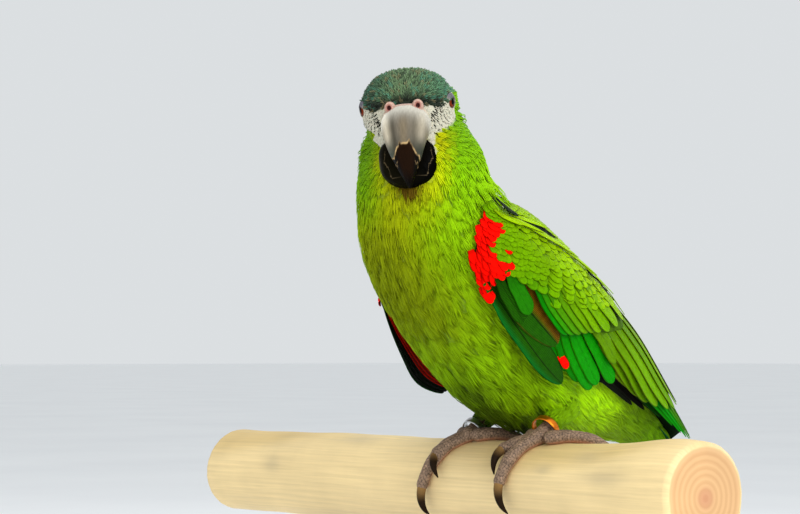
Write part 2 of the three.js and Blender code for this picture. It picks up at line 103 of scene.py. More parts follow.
# Each ankle's place along the branch. A toe's reach along it from there, how far round it goes, and its
# claw's reach round and along.
ANKLES = {"left": 25, "right": -20}
TOES = {
    "left": {
        "inner_front": (-12.5, 41, 30, 2.5),
        "outer_front": (-6.5, 81, 31, 4),
        "inner_back": (-17, -40, 28, -2),
        "outer_back": (21, -46, 30, 2),
    },
    "right": {
        "inner_front": (-8.5, 52, 26, 7),
        "outer_front": (-12.5, 90, 31, 1),
        "inner_back": (15, -36, 28, 2),
        "outer_back": (-18, -48, 30, -2),
    },
}
BANDS = {
    "left": {"radius": 6.2, "width": 3.2, "thick": 0.7, "height": 6.6, "slot": "ring_copper",
             "tone": (0.95, 0.26, 0.02)},
    "right": {"radius": 5.4, "width": 3.4, "thick": 0.8, "height": 4.0, "slot": "ring_silver",
              "tone": (0.60, 0.61, 0.62)},
}
SIDES = {"left": 1, "right": -1}

# ---- Numbers and places ----


def between(values, place):
    """A smooth value at fractional places in a list of numbers, or of rows of numbers."""
    values = np.asarray(values, float)
    last = len(values) - 1
    place = np.clip(np.asarray(place, float), 0, last)
    i = np.minimum(place.astype(int), last - 1)
    a, b, c, d = (values[np.clip(i + k, 0, last)] for k in (-1, 0, 1, 2))
    t = place - i
    if values.ndim > 1:
        t = t[..., None]
    return b + 0.5 * t * (c - a + t * (2 * a - 5 * b + 4 * c - d + t * (3 * (b - c) + d - a)))


def ramp(value, low, high):
    """0 below low, 1 above high, and smooth in between."""
    t = np.clip((np.asarray(value, float) - low) / (high - low), 0, 1)
    return t * t * (3 - 2 * t)


def window(value, start, full, fade, end):
    """1 from full to fade, 0 before start and after end, and smooth in between."""
    return ramp(value, start, full) * ramp(value, end, fade)


def unit(vectors):
    """Vectors of the same directions, one long."""
    return vectors / np.maximum(np.linalg.norm(vectors, axis=-1, keepdims=True), 1e-9)


def dot(a, b):
    """The products of pairs of vectors."""
    return (a * b).sum(axis=-1)


def blend(a, b, share):
    """Rows a where share is 0 and rows b where it is 1."""
    share = np.asarray(share, float)[..., None]
    return np.asarray(a) * (1 - share) + np.asarray(b) * share


def layered(tone, *layers):
    """Lays colours over a tone in turn, each given as red, green and blue with its share."""
    for rgb, share in layers:
        tone = blend(tone, colour(*rgb), share)
    return tone


def colour(red, green, blue):
    """Linear light from a colour's usual 0 to 255 values."""
    c = np.array([red, green, blue], float) / 255
    return np.where(c <= 0.04045, c / 12.92, ((c + 0.055) / 1.055) ** 2.4)


def matched(*values):
    """Numbers and arrays as arrays of one shape."""
    return np.broadcast_arrays(*(np.asarray(v, float) for v in values))


def bell(value, middle, width):
    """1 at the middle, falling smoothly to 0 about two widths from it."""
    return np.exp(-(((value - middle) / width) ** 2))


def grid(down, across):
    """Every pair of two lists of values, as two arrays."""
    return np.meshgrid(down, across, indexing="ij")


def circle(count, first=0.0, last=2 * np.pi):
    """Even steps once round, without the last value, which is the first again."""
    return np.linspace(first, last, count, endpoint=False)


def tree_of(points):
    """A tree that finds which points are near a place."""
    tree = kdtree.KDTree(len(points))
    for i, point in enumerate(points):
        tree.insert(point, i)
    tree.balance()
    return tree


def thinned(points, gaps):
    """Which points stay when each, in turn, clears those within its gap."""
    places = points.tolist()
    tree = tree_of(places)
    free, kept = np.ones(len(places), bool), []
    for i, place in enumerate(places):
        if free[i]:
            kept.append(i)
            free[[j for _, j, _ in tree.find_range(place, gaps[i])]] = False
    return kept


def bird_point(forward, left, up):
    """A point given by how far it is forward of, left of and above the feet."""
    forward, left, up = matched(forward, left, up)
    return np.stack([FEET[0] + left, FEET[1] - forward, PERCH_TOP + up], axis=-1)


LEFTWARD = np.array([1.0, 0.0, 0.0])


def body_frame(station):
    """The body's axis point at a fractional station, and the directions along it and to the back."""
    def spot(s):
        return bird_point(between(BODY["forward"], s), 0, between(BODY["up"], s))
    station = np.asarray(station, float)
    along = unit(spot(np.clip(station + 0.2, 0, LAST)) - spot(np.clip(station - 0.2, 0, LAST)))
    back = unit(np.cross(np.broadcast_to(LEFTWARD, along.shape), along))
    return spot(station), along, back


def body_depth(toward_back, station):
    """The body's depth to the back, or to the breast where toward_back is below 0."""
    return np.where(toward_back > 0, between(BODY["back"], station), between(BODY["front"], station))


def body_surface(station, angle, lift=0.0):
    """A point on the body raised by lift. Angle 0 is the back, 90 the bird's left, 180 the breast."""
    station, angle, lift = matched(station, angle, lift)
    centre, _, back = body_frame(station)
    turn = np.radians(angle)
    deep = np.cos(turn) * (body_depth(np.cos(turn), station) + lift)
    across = np.sin(turn) * (between(BODY["wide"], station) + lift)
    return centre + back * deep[..., None] + LEFTWARD * across[..., None]


# The body's axis in short steps, to find the station of a point.
AXIS_STEPS = np.linspace(-0.6, LAST, 200)
AXIS = body_frame(AXIS_STEPS)
# How much a step's distance counts beside how far off its cross-section the point is.
NEARNESS = 0.06


def body_place(points):
    """The station and angle of points on or near the body."""
    offset = points[:, None, :] - AXIS[0][None]
    miss = np.abs((offset * AXIS[1][None]).sum(-1)) + NEARNESS * np.linalg.norm(offset, axis=-1)
    station = AXIS_STEPS[miss.argmin(axis=1)]
    centre, _, back = body_frame(station)
    away = points - centre
    toward_back = dot(away, back)
    depth = body_depth(toward_back, station)
    return station, np.degrees(np.arctan2(away[:, 0] / between(BODY["wide"], station), toward_back / depth))


def turn_about(axis, degrees):
    """The matrix of a turn about X, Y or Z."""
    return np.array(Matrix.Rotation(math.radians(degrees), 3, axis))


HEAD_TURN = turn_about("Z", HEAD["turn"]) @ turn_about("X", HEAD["nod"]) @ turn_about("Y", HEAD["roll"])
HEAD_CENTRE = bird_point(HEAD["forward"], HEAD["left"], HEAD["up"])


def head_vector(forward, left, up):
    """A direction given in the head's own frame."""
    forward, left, up = matched(forward, left, up)
    return np.stack([left, -forward, up], axis=-1) @ HEAD_TURN.T


def head_point(forward, left, up):
    """A point given in the head's own frame: forward to the bill, left and up."""
    return head_vector(forward, left, up) + HEAD_CENTRE


def head_place(points):
    """Forward, left and up in the head's own frame."""
    own = (points - HEAD_CENTRE) @ HEAD_TURN
    return -own[..., 1], own[..., 0], own[..., 2]


PERCH_ALONG = turn_about("Z", PERCH_TURN) @ np.array([1.0, 0, 0])
PERCH_FRONT = turn_about("Z", PERCH_TURN) @ np.array([0, -1.0, 0])


def perch_point(along, round_, out):
    """A point over the branch: along it, round it in degrees from its top to the front, and out of it."""
    along, round_, out = matched(along, round_, out)
    radius = PERCH_RADIUS + out
    turn = np.radians(round_)
    point = bird_point(0, 0, -PERCH_RADIUS) + PERCH_ALONG * along[..., None]
    point = point + PERCH_FRONT * (np.sin(turn) * radius)[..., None]
    point[..., 2] += np.cos(turn) * radius
    return point


def ankle(side):
    """Where a foot's toes meet, on top of the branch."""
    return perch_point(ANKLES[side], ANKLE_ROUND, TOE_RADIUS + 0.5)


def heel(side):
    """Where a shank meets its thigh."""
    return bird_point(-14, SIDES[side] * 21.5, 15.5)


def eye_centre(side):
    """The middle of an eyeball."""
    return head_point(4, SIDES[side] * 15.8, 1.2)


# ---- Meshes ----


def grid_faces(rows, columns):
    """Four-sided faces between rows of points, each row closed on itself."""
    i, j = (v.ravel() for v in grid(np.arange(rows - 1), np.arange(columns)))
    k = (j + 1) % columns
    return np.stack([i * columns + j, i * columns + k, (i + 1) * columns + k, (i + 1) * columns + j], 1)


def loft(rings):
    """A closed form through rings of points, drawn to one point at each end: its points and faces."""
    rows, columns = rings.shape[:2]
    points = np.concatenate([rings.reshape(-1, 3), rings[:1].mean(axis=1), rings[-1:].mean(axis=1)])
    j = np.arange(columns)
    k = (j + 1) % columns
    first, last = rows * columns, rows * columns + 1
    start = (rows - 1) * columns
    caps = [np.stack([k, j, np.full(columns, first)], 1),
            np.stack([start + j, start + k, np.full(columns, last)], 1)]
    return points, [grid_faces(rows, columns), *caps]


def with_ends(values):
    """Values for a loft's points: those of the rings and then of the two end points."""
    return np.concatenate([values.reshape(-1, values.shape[-1]), values[0].mean(axis=0)[None],
                           values[-1].mean(axis=0)[None]])


def ring_form(rings):
    """A form through rings of points whose last ring joins the first: its points and faces."""
    rows, columns = rings.shape[:2]
    j = np.arange(columns)
    last, k = (rows - 1) * columns, (j + 1) % columns
    closing = np.stack([last + j, last + k, k, j], axis=1)
    return rings.reshape(-1, 3), [np.concatenate([grid_faces(rows, columns), closing])]


def joined(parts):
    """Several forms as one set of points and faces."""
    points, faces, start = [], [], 0
    for own_points, own_faces in parts:
        points.append(own_points)
        faces += [f + start for f in own_faces]
        start += len(own_points)
    return np.concatenate(points), faces


def volume(points, faces):
    """What the faces enclose, below 0 where they are turned inward."""
    total = 0.0
    for f in faces:
        for k in range(1, f.shape[1] - 1):
            a, b, c = points[f[:, 0]], points[f[:, k]], points[f[:, k + 1]]
            total += dot(a, np.cross(b, c)).sum() / 6
    return total


def new_mesh(name, points, faces):
    """A Blender mesh with its faces turned outward."""
    if volume(points - points.mean(axis=0), faces) < 0:
        faces = [f[:, ::-1] for f in faces]
    corners = np.concatenate([f.ravel() for f in faces]).astype(np.int32)
    sizes = np.concatenate([np.full(len(f), f.shape[1]) for f in faces])
    mesh = bpy.data.meshes.new(name)
    mesh.vertices.add(len(points))
    mesh.vertices.foreach_set("co", (points * MM).astype(np.float32).ravel())
    mesh.loops.add(len(corners))
    mesh.loops.foreach_set("vertex_index", corners)
    mesh.polygons.add(len(sizes))
    mesh.polygons.foreach_set("loop_start", (np.cumsum(sizes) - sizes).astype(np.int32))
    mesh.update(calc_edges=True)
    return mesh, corners


FIELD_KINDS = {1: ("FLOAT", "value"), 3: ("FLOAT_VECTOR", "vector"), 4: ("FLOAT_COLOR", "color")}


def make_piece(name, form, material, fields=None, patch=None, stands_for=()):
    """A finished piece of the model. fields are values kept at its points, and patch its baking map."""
    points, faces = form
    mesh, corners = new_mesh(name, points, faces)
    for key, values in (fields or {}).items():
        values = np.asarray(values, float)
        if key in ("tint", "rim"):
            values = np.concatenate([values, np.ones((len(values), 1))], axis=1)
        width = 1 if values.ndim == 1 else values.shape[1]
        kind, member = FIELD_KINDS[width]
        mesh.attributes.new(key, kind, "POINT").data.foreach_set(member, values.astype(np.float32).ravel())
    if patch is not None:
        layer = mesh.uv_layers.new(name="OFBake")
        layer.data.foreach_set("uv", patch[corners].astype(np.float32).ravel())
    piece = bpy.data.objects.new(name, mesh)
    bpy.context.scene.collection.objects.link(piece)
    mesh.materials.append(material)
    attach(piece, "root")
    if stands_for:
        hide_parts(*stands_for)
    return piece


def remeshed(form, voxel, smoothing):
    """The form's outline as one even mesh without inner walls: its points, normals and faces."""
    mesh, _ = new_mesh("rough", *form)
    rough = bpy.data.objects.new("rough", mesh)
    bpy.context.scene.collection.objects.link(rough)
    remesh = rough.modifiers.new("even", "REMESH")
    remesh.mode = "VOXEL"
    remesh.voxel_size = voxel * MM
    smooth = rough.modifiers.new("soft", "SMOOTH")
    smooth.factor, smooth.iterations = 0.5, smoothing
    made = rough.evaluated_get(bpy.context.evaluated_depsgraph_get()).to_mesh()
    points = np.zeros(len(made.vertices) * 3, np.float32)
    made.vertices.foreach_get("co", points)
    quads = np.zeros(len(made.loops), np.int32)
    made.loops.foreach_get("vertex_index", quads)
    rough.to_mesh_clear()
    bpy.data.objects.remove(rough)
    bpy.data.meshes.remove(mesh)
    return points.reshape(-1, 3).astype(float) / MM, quads.reshape(-1, 4)


def normals_of(points, quads):
    """Normals at the points of a mesh of four-sided faces."""
    faces = np.cross(points[quads[:, 2]] - points[quads[:, 0]], points[quads[:, 3]] - points[quads[:, 1]])
    total = np.zeros_like(points)
    for k in range(4):
        np.add.at(total, quads[:, k], faces)
    return unit(total)


TUBE_DOME = 0.75


def tube(line, radii, sides, steps):
    """Rings of points round a smooth line, with bevelled ends."""
    line = np.asarray(line, float)
    t = np.linspace(0, 1, steps + 1)
    centre = between(line, t * (len(line) - 1))
    ahead = unit(np.gradient(centre, axis=0))
    side = unit(np.cross(ahead, [0.31, 0.22, 0.93]))
    up = np.cross(side, ahead)
    radius = between(radii, t * (len(radii) - 1))
    shrink = np.sqrt(1 - TUBE_DOME**2)
    centre = np.concatenate([centre[:1] - ahead[:1] * radius[0] * TUBE_DOME, centre,
                             centre[-1:] + ahead[-1:] * radius[-1] * TUBE_DOME])
    side, up = (np.concatenate([v[:1], v, v[-1:]]) for v in (side, up))
    radius = np.concatenate([[radius[0] * shrink], radius, [radius[-1] * shrink]])
    angle = circle(sides)
    ring = side[:, None] * np.cos(angle)[None, :, None] + up[:, None] * np.sin(angle)[None, :, None]
    return centre[:, None] + ring * radius[:, None, None]


def lathe(profile, centre, axis, sides):
    """Rings of points: a profile of (radius, height) turned about an axis."""
    axis = unit(np.asarray(axis, float))
    side = unit(np.cross(axis, [0.2, 1.0, 0.1]))
    front = np.cross(axis, side)
    angle = circle(sides)
    spoke = side * np.cos(angle)[:, None] + front * np.sin(angle)[:, None]
    profile = np.asarray(profile, float)
    return np.asarray(centre) + spoke[None] * profile[:, 0, None, None] + axis * profile[:, 1, None, None]


# ---- Materials ----


class Shader:
    """A material whose looks come from nodes."""

    def __init__(self, name, **sockets):
        self.material = bpy.data.materials.new(name)
        self.material.use_nodes = True
        self.tree = self.material.node_tree
        self.surface = self.tree.nodes["Principled BSDF"]
        self.set(**sockets)

    def node(self, kind, inputs=None, **settings):
        made = self.tree.nodes.new("ShaderNode" + kind)
        for key, value in settings.items():
            setattr(made, key, value)
        for key, value in (inputs or {}).items():
            self.put(made.inputs[key], value)
        return made

    def put(self, socket, value):
        if isinstance(value, bpy.types.NodeSocket):
            self.tree.links.new(value, socket)
        else:
            socket.default_value = value

    def set(self, **inputs):
        for key, value in inputs.items():
            self.put(self.surface.inputs[key.replace("_", " ")], value)

    def field(self, name, output="Color"):
        """Values kept at the mesh's points."""
        return self.node("Attribute", attribute_name=name).outputs[output]

    def three(self, name):
        """The three numbers of a field of vectors."""
        return self.node("SeparateXYZ", {"Vector": self.field(name, "Vector")}).outputs

    def vector(self, x, y, z=0.0):
        return self.node("CombineXYZ", {"X": x, "Y": y, "Z": z}).outputs[0]

    def math(self, operation, a, b, clamp=False):
        return self.node("Math", {0: a, 1: b}, operation=operation, use_clamp=clamp).outputs[0]

    def times(self, a, b, clamp=False):
        return self.math("MULTIPLY", a, b, clamp)

    def plus(self, a, b):
        return self.math("ADD", a, b)

    def minus(self, a, b):
        return self.math("SUBTRACT", a, b)

    def mix(self, share, a, b, how="MIX"):
        return self.node("Mix", {0: share, 6: a, 7: b}, data_type="RGBA", blend_type=how).outputs[2]

    def lit(self, light):
        """The tint kept at the mesh's points times a share of light."""
        tone = self.node("CombineColor", {0: light, 1: light, 2: light}).outputs[0]
        return self.mix(1.0, self.field("tint"), tone, "MULTIPLY")

    def spread(self, value, low, high, to_low=0.0, to_high=1.0):
        """What lies between low and high, spread from to_low to to_high."""
        inputs = {"Value": value, "From Min": low, "From Max": high, "To Min": to_low, "To Max": to_high}
        return self.node("MapRange", inputs).outputs[0]

    def stretched(self, scale):
        place = self.node("TexCoord").outputs["Object"]
        return self.node("Mapping", {"Vector": place, "Scale": scale}).outputs[0]

    def noise(self, scale, vector=None, detail=4.0, roughness=0.55):
        inputs = {"Scale": scale, "Detail": detail, "Roughness": roughness}
        inputs["Vector"] = self.stretched((1, 1, 1)) if vector is None else vector
        return self.node("TexNoise", inputs).outputs["Fac"]

    def bump(self, height, strength, distance):
        made = self.node("Bump", {"Height": height, "Strength": strength, "Distance": distance})
        self.set(Normal=made.outputs[0])


def plumage_material(name, roughness, sheen):
    """Soft barbs: the tint of each lock with finer streaks along it."""
    look = Shader(name, Roughness=roughness, Sheen_Weight=sheen, Sheen_Roughness=0.45,
                  Specular_IOR_Level=0.06)
    across, along, own = look.three("vane")
    streaks = look.noise(3.0, look.vector(look.times(across, 5.0), along, own), detail=2.0)
    patches = look.spread(look.noise(260.0, detail=3.0), 0.3, 0.7, 0.94, 1.06)
    look.set(Base_Color=look.lit(look.times(look.spread(streaks, 0.3, 0.7, 0.78, 1.22), patches)))
    look.bump(streaks, 0.35, 0.0003)
    return look.material


def vane_material(name):
    """A firm feather: barbs slanting from a dark shaft, a pale or dark rim and small flecks."""
    look = Shader(name, Roughness=0.55, Specular_IOR_Level=0.04, Specular_Tint=(0.5, 0.9, 0.2, 1))
    side, along, own = look.three("vane")
    shaft_mark, rim_mark, barring = look.three("marks")
    comb = look.vector(look.times(side, 1.2), look.minus(along, look.times(side, 0.16)), own)
    waves = {"Vector": comb, "Scale": 4.6, "Distortion": 1.6, "Detail": 2.0, "Detail Scale": 2.0}
    barbs = look.node("TexWave", waves, bands_direction="Y").outputs["Fac"]
    drift = look.noise(4.0, comb, detail=3.0)
    dimmed = look.minus(1.0, look.times(look.spread(barbs, 0.2, 0.8), barring))
    body = look.lit(look.times(look.spread(drift, 0.3, 0.7, 0.82, 1.18), dimmed))
    uneven = look.plus(side, look.times(look.minus(drift, 0.5), 0.10))
    at_rim = look.times(look.spread(uneven, 0.88, 0.99), rim_mark, clamp=True)
    edged = look.mix(at_rim, body, look.field("rim"))
    at_shaft = look.times(look.spread(side, 0.055, 0.015), shaft_mark, clamp=True)
    look.set(Base_Color=look.mix(at_shaft, edged, (0.004, 0.010, 0.002, 1)))
    look.bump(look.plus(look.times(barbs, 0.5), look.spread(side, 0.07, 0.0)), 0.5, 0.0004)
    return look.material


def skin_material():
    """Wrinkled bare skin, fine enough to show on the face."""
    look = Shader("bare_skin", Roughness=0.72, Specular_IOR_Level=0.3, Subsurface_Weight=0.06,
                  Subsurface_Radius=(0.0012, 0.0006, 0.0004))
    cells = {"Vector": look.stretched((1, 1, 1.5)), "Scale": 950.0}
    grains = look.node("TexVoronoi", cells).outputs["Distance"]
    folds = look.noise(420.0, look.stretched((0.7, 1, 1.9)), detail=5.0, roughness=0.7)
    light = look.times(look.spread(folds, 0.3, 0.65, 0.74, 1.06), look.spread(grains, 0.0, 0.5, 0.86, 1.05))
    look.set(Base_Color=look.lit(light))
    look.bump(look.plus(folds, look.times(grains, 0.5)), 0.8, 0.0006)
    return look.material


def horn_material(name, roughness, streak, gloss):
    """Horn of the bill and claws: its tint with fine growth streaks along it and a worn surface."""
    look = Shader(name, Specular_IOR_Level=gloss)
    around, along, _ = look.three("vane")
    lines = look.vector(look.times(around, 26.0), look.times(along, 2.2))
    streaks = look.noise(1.6, lines, detail=4.0, roughness=0.6)
    scuffs = look.noise(900.0, detail=4.0, roughness=0.7)
    look.set(Base_Color=look.lit(look.spread(streaks, 0.3, 0.7, 1 - streak, 1 + streak)),
             Roughness=look.spread(scuffs, 0.35, 0.7, roughness, roughness + 0.2))
    look.bump(look.plus(streaks, look.times(scuffs, 0.35)), 0.3, 0.0003)
    return look.material


def eye_material():
    """A wet eye: a black pupil, a red-brown iris with spokes and a darker rim."""
    look = Shader("eye_glass", Roughness=0.05, IOR=1.2, Specular_IOR_Level=0.12)
    around, out, _ = look.three("vane")
    grain = look.noise(1.0, look.vector(look.times(around, 60.0), look.times(out, 3.0)), detail=3.0)
    iris = look.mix(look.spread(grain, 0.3, 0.7), (0.09, 0.012, 0.004, 1), (0.24, 0.036, 0.008, 1))
    iris = look.mix(look.spread(out, 0.78, 1.0), iris, (0.02, 0.008, 0.006, 1))
    look.set(Base_Color=look.mix(look.spread(out, 0.58, 0.52), iris, (0.002, 0.002, 0.002, 1)))
    return look.material


def scale_material():
    """Dry scaled skin of the feet."""
    look = Shader("scaled_skin", Roughness=0.62, Specular_IOR_Level=0.4)
    dust = look.noise(700.0, detail=5.0, roughness=0.65)
    look.set(Base_Color=look.lit(look.spread(dust, 0.3, 0.7, 0.78, 1.2)))
    look.bump(dust, 0.4, 0.0003)
    return look.material


def wood_material():
    """Peeled branch: pale wood with long fine grain, grey scars and a dry surface."""
    look = Shader("peeled_wood", Specular_IOR_Level=0.3)
    around, along, _ = look.three("vane")
    grain = look.noise(1.0, look.vector(around, look.times(along, 0.16)), detail=5.0, roughness=0.6)
    broad = look.noise(28.0, detail=3.0)
    light = look.times(look.spread(grain, 0.25, 0.75, 0.86, 1.1), look.spread(broad, 0.3, 0.7, 0.93, 1.06))
    look.set(Base_Color=look.lit(light), Roughness=look.spread(grain, 0.3, 0.7, 0.5, 0.72))
    look.bump(look.plus(grain, look.times(broad, 0.4)), 0.35, 0.0008)
    return look.material


def metal_material(name, tone, roughness):
    """Worn metal with fine scratches round it."""
    look = Shader(name, Metallic=1.0)
    marks = look.noise(90.0, look.stretched((1, 1, 26)), detail=5.0, roughness=0.7)
    dull = tuple(0.72 * c for c in tone)
    look.set(Base_Color=look.mix(look.spread(marks, 0.35, 0.7), (*dull, 1), (*tone, 1)),
             Roughness=look.spread(marks, 0.3, 0.7, roughness, roughness + 0.16))
    look.bump(marks, 0.15, 0.0002)
    return look.material


def lacquer_material():
    """The stand's base: stained hardwood under satin lacquer."""
    look = Shader("stained_lacquer", Coat_Weight=0.5, Coat_Roughness=0.18, Specular_IOR_Level=0.4)
    grain = look.noise(22.0, look.stretched((1, 9, 1)), detail=6.0, roughness=0.65)
    stain = look.mix(look.spread(grain, 0.3, 0.7), (0.012, 0.008, 0.006, 1), (0.040, 0.024, 0.015, 1))
    look.set(Base_Color=stain, Roughness=look.spread(grain, 0.3, 0.7, 0.32, 0.5))
    look.bump(grain, 0.12, 0.0004)
    return look.material


def floor_material():
    """The pale studio floor, faintly mottled."""
    look = Shader("studio_floor", Roughness=0.85)
    mottle = look.spread(look.noise(3.0, detail=3.0), 0.3, 0.7)
    look.set(Base_Color=look.mix(mottle, (0.88, 0.89, 0.90, 1), (0.92, 0.93, 0.935, 1)))
    return look.material


# ---- Camera, light and floor ----


def add_area(name, location, size, power, tone):
    """A round soft light that points at the bird."""
    light = bpy.data.lights.new(name, "AREA")
    light.shape, light.size, light.energy, light.color = "DISK", size, power, tone
    lamp = bpy.data.objects.new(name, light)
    lamp.location = location
    lamp.rotation_mode = "QUATERNION"
    lamp.rotation_quaternion = (Vector(LIT_MIDDLE) - Vector(location)).to_track_quat("-Z", "Y")
    bpy.context.scene.collection.objects.link(lamp)


# The camera: degrees round the bird, millimetres from its feet, above them and aside, and degrees of tilt.
VIEW_AZIMUTH = 48.0
VIEW_DISTANCE = 1050.0
VIEW_RISE = 38.7
VIEW_ASIDE = -48.1
VIEW_PITCH = 2.27
LENS = 108.0

# Each light's place, width in metres, power and colour, and the place that they point at.
LIGHTS = {
    "sky": ((0.2, -0.15, 1.7), 1.8, 12.0, (0.98, 0.99, 1.0)),
    "side": ((1.75, -0.25, 0.95), 1.1, 20.0, (1.0, 0.99, 0.97)),
    "back": ((-0.4, 1.3, 0.9), 1.0, 5.0, (1.0, 1.0, 1.0)),
    "low": ((0.1, -1.2, 0.3), 0.8, 1.6, (1.0, 0.99, 0.97)),
}
LIT_MIDDLE = (0.02, -0.02, 0.2)


def add_camera():
    """The camera, which looks at the bird's left front."""
    turn, pitch = math.radians(VIEW_AZIMUTH), math.radians(VIEW_PITCH)
    right = np.array([math.cos(turn), math.sin(turn), 0])
    toward = np.array([math.sin(turn), -math.cos(turn), 0])
    feet = np.array([FEET[0], FEET[1], PERCH_TOP])
    spot = feet + right * VIEW_ASIDE + toward * VIEW_DISTANCE + np.array([0, 0, VIEW_RISE])
    camera = bpy.data.objects.new("camera", bpy.data.cameras.new("camera"))
    camera.data.sensor_width, camera.data.lens = 36.0, LENS
    camera.data.clip_start, camera.data.clip_end = 0.02, 60.0
    camera.location = Vector(spot * MM)
    ahead = -toward * math.cos(pitch) + np.array([0, 0, math.sin(pitch)])
    camera.rotation_mode = "QUATERNION"
    camera.rotation_quaternion = Vector(ahead).to_track_quat("-Z", "Y")
    bpy.context.scene.collection.objects.link(camera)
    bpy.context.scene.camera = camera


def set_stage():
    """Soft light from above, a pale world and a pale floor."""
    for name, settings in LIGHTS.items():
        add_area(name, *settings)
    world = bpy.data.worlds.new("studio")
    world.use_nodes = True
    background = world.node_tree.nodes["Background"].inputs
    background["Color"].default_value = (0.79, 0.82, 0.84, 1)
    background["Strength"].default_value = 0.90
    bpy.context.scene.world = world
    bpy.context.scene.view_settings.view_transform = "Standard"

    bpy.ops.mesh.primitive_plane_add(size=60.0, location=(0, 0, 0))
    floor = bpy.context.object
    floor.name = "floor"
    floor.data.materials.append(floor_material())


add_camera()
set_stage()

# ---- The skin ----


def body_form():
    """The body's outline through its sections."""
    return loft(body_surface(*grid(np.linspace(0, LAST, 91), circle(72, 0, 360))))


def skull_form():
    """The skull's outline, a little fuller than ellipses."""
    place, angle = grid(np.linspace(0, 7, 43), circle(64))
    across, upright = (np.sign(v) * np.abs(v) ** SKULL_FULLNESS for v in (np.sin(angle), np.cos(angle)))
    height = np.where(upright > 0, between(SKULL["top"], place), -between(SKULL["bottom"], place))
    wide = between(SKULL["wide"], place)
    return loft(head_point(between(SKULL["at"], place), across * wide, upright * height))


def thigh_form(side):
    """A thigh from inside the belly to the heel."""
    line = bird_point([4, 3, -6], SIDES[side] * np.array([15, 16.5, 22]), [44, 30, 18.5])
    return loft(tube(line, [14.5, 12.5, 8.5], sides=40, steps=24))


def crown_edge(forward):
    """Height of the crown feathers' lower edge, from the nape to the forehead."""
    return between([7.5, 7.0, 6.6, 6.0, 5.0, 3.2, 1.5, 0.3, 1.4], (forward + 14) / 4.1)


# The bare face's lower edge: heights for distances forward in the head's frame.
CHEEK_LINE = ([-2, -0.5, 2, 6, 10.5, 13.7, 16.3, 18.3, 20, 21],
              [-1.5, -4, -5.8, -7.2, -8.7, -10, -11.3, -14.5, -17.8, -20])


def face_share(points):
    """1 on the bare skin of the face, 0 on feathered skin."""
    forward, left, up = head_place(points)
    below_crown = ramp(crown_edge(forward) - up, -0.5, 0.5)
    before_ear = ramp(forward + 0.12 * up, -1.2, -0.2)
    drawn = np.where(left > 0, 1.3 * ramp(left, 12.0, 10.6) - 0.35, 9.0) * ramp(up, -9.0, -12.0)
    cheek_line = np.interp(forward + drawn, CHEEK_LINE[0], CHEEK_LINE[1])
    above_cheek = ramp(up - cheek_line, -0.6, 0.6)
    beside = ramp(np.abs(left), 7.5, 9.0)
    return below_crown * before_ear * above_cheek * np.maximum(beside, ramp(up, -14, -12))


def crown_share(points, margin=0.0):
    """1 on the blue-green crown, falling to 0 down the nape."""
    forward, _, up = head_place(points)
    return ramp(up + margin - crown_edge(forward), -0.6, 0.6) * ramp(forward + 0.25 * up, -10, -2)


def head_share(points):
    """1 where the coat lies as on the head, 0 where it lies as on the body."""
    station, _ = body_place(points)
    return 1 - ramp(station, 0.9, 1.9)


def coat_depth(points):
    """How deep the skin lies under the bird's outline, for the coat to fill."""
    station, _ = body_place(points)
    body = between([1.6, 2.0, 2.4, 2.8, 3.0, 3.2, 3.2, 3.0, 2.4, 1.2], station)
    crown, bare = crown_share(points), face_share(points)
    head = 1.5 * (1 - crown) + 1.3 * crown
    depth = body + (head - body) * head_share(points)
    return depth * (1 - bare) + 0.25 * bare


# Body colours by station, for the breast, the flanks and the back.
COLOUR_STATIONS = [0, 1.2, 2.2, 3.2, 4.2, 5.2, 6.2, 7.2, 9]
BREAST = [
    (190, 182, 3), (182, 192, 3), (140, 154, 2), (126, 146, 2), (128, 172, 2), (118, 152, 2), (112, 148, 2),
    (130, 170, 3), (110, 165, 3),
]
FLANK = [
    (110, 162, 3), (122, 176, 2), (142, 194, 2), (140, 188, 2), (134, 182, 2), (126, 176, 2), (146, 194, 2),
    (108, 150, 2), (100, 160, 3),
]
BACK = [
    (140, 182, 4), (148, 196, 3), (146, 192, 4), (124, 180, 5), (100, 164, 4), (94, 162, 4), (92, 164, 4),
    (90, 166, 4), (86, 160, 4),
]
CROWN = (98, 124, 86)
CROWN_BLUE = (74, 120, 88)
FACE = (196, 192, 172)
# Painted shadow under the crown's overhanging front edge.
FOREHEAD_SHADOW = (16, 20, 10)
STAIN = (78, 42, 6)


def by_station(colours, station):
    """A smooth colour from a list of those at COLOUR_STATIONS."""
    place = np.interp(station, COLOUR_STATIONS, np.arange(len(colours)))
    return between(np.array([colour(*c) for c in colours]), place)


def body_tone(points):
    """Breast, flank and back greens, with painted shade under the belly and on the neck's right, and painted
    light on the near thigh and the neck's left.
    """
    station, angle = body_place(points)
    away = np.abs(angle)
    forward, left, _ = head_place(points)
    below = ramp(forward, 0, 16) * ramp(np.abs(left), 20, 8)
    front = ramp(away, 110, 165)
    front = front + (below - front) * ramp(station, 2.2, 1.2)
    behind = ramp(away, 25, 80)
    behind = behind + (ramp(forward, -16, -6) - behind) * ramp(station, 1.6, 0.8)
    tone = blend(by_station(FLANK, station), by_station(BREAST, station), front)
    tone = blend(by_station(BACK, station), tone, behind)
    # Painted light on the bird's left of the neck and head, and painted shade on its right.
    side = 1 + 0.16 * ramp(left, -4, 12) - 0.16 * ramp(-left, 8, 20)
    tone = tone * (1 + (side - 1) * ramp(station, 2.4, 1.4))[:, None]
    # Painted light on the near thigh and flank, and painted shade under the belly, most on the bird's right.
    lit = window(station, 4.7, 5.3, 6.3, 6.9) * ramp(away, 152, 138) * ramp(angle, 100, 112)
    painted_shade = window(station, 3.9, 4.6, 6.0, 6.5) * ramp(np.abs(angle - 200), 48, 30)
    painted_shade = np.where(angle < 0, window(station, 4.0, 4.9, 6.0, 6.5) * ramp(away, 128, 150), painted_shade)
    return tone * (1 + 0.6 * lit - 0.68 * painted_shade)[:, None]


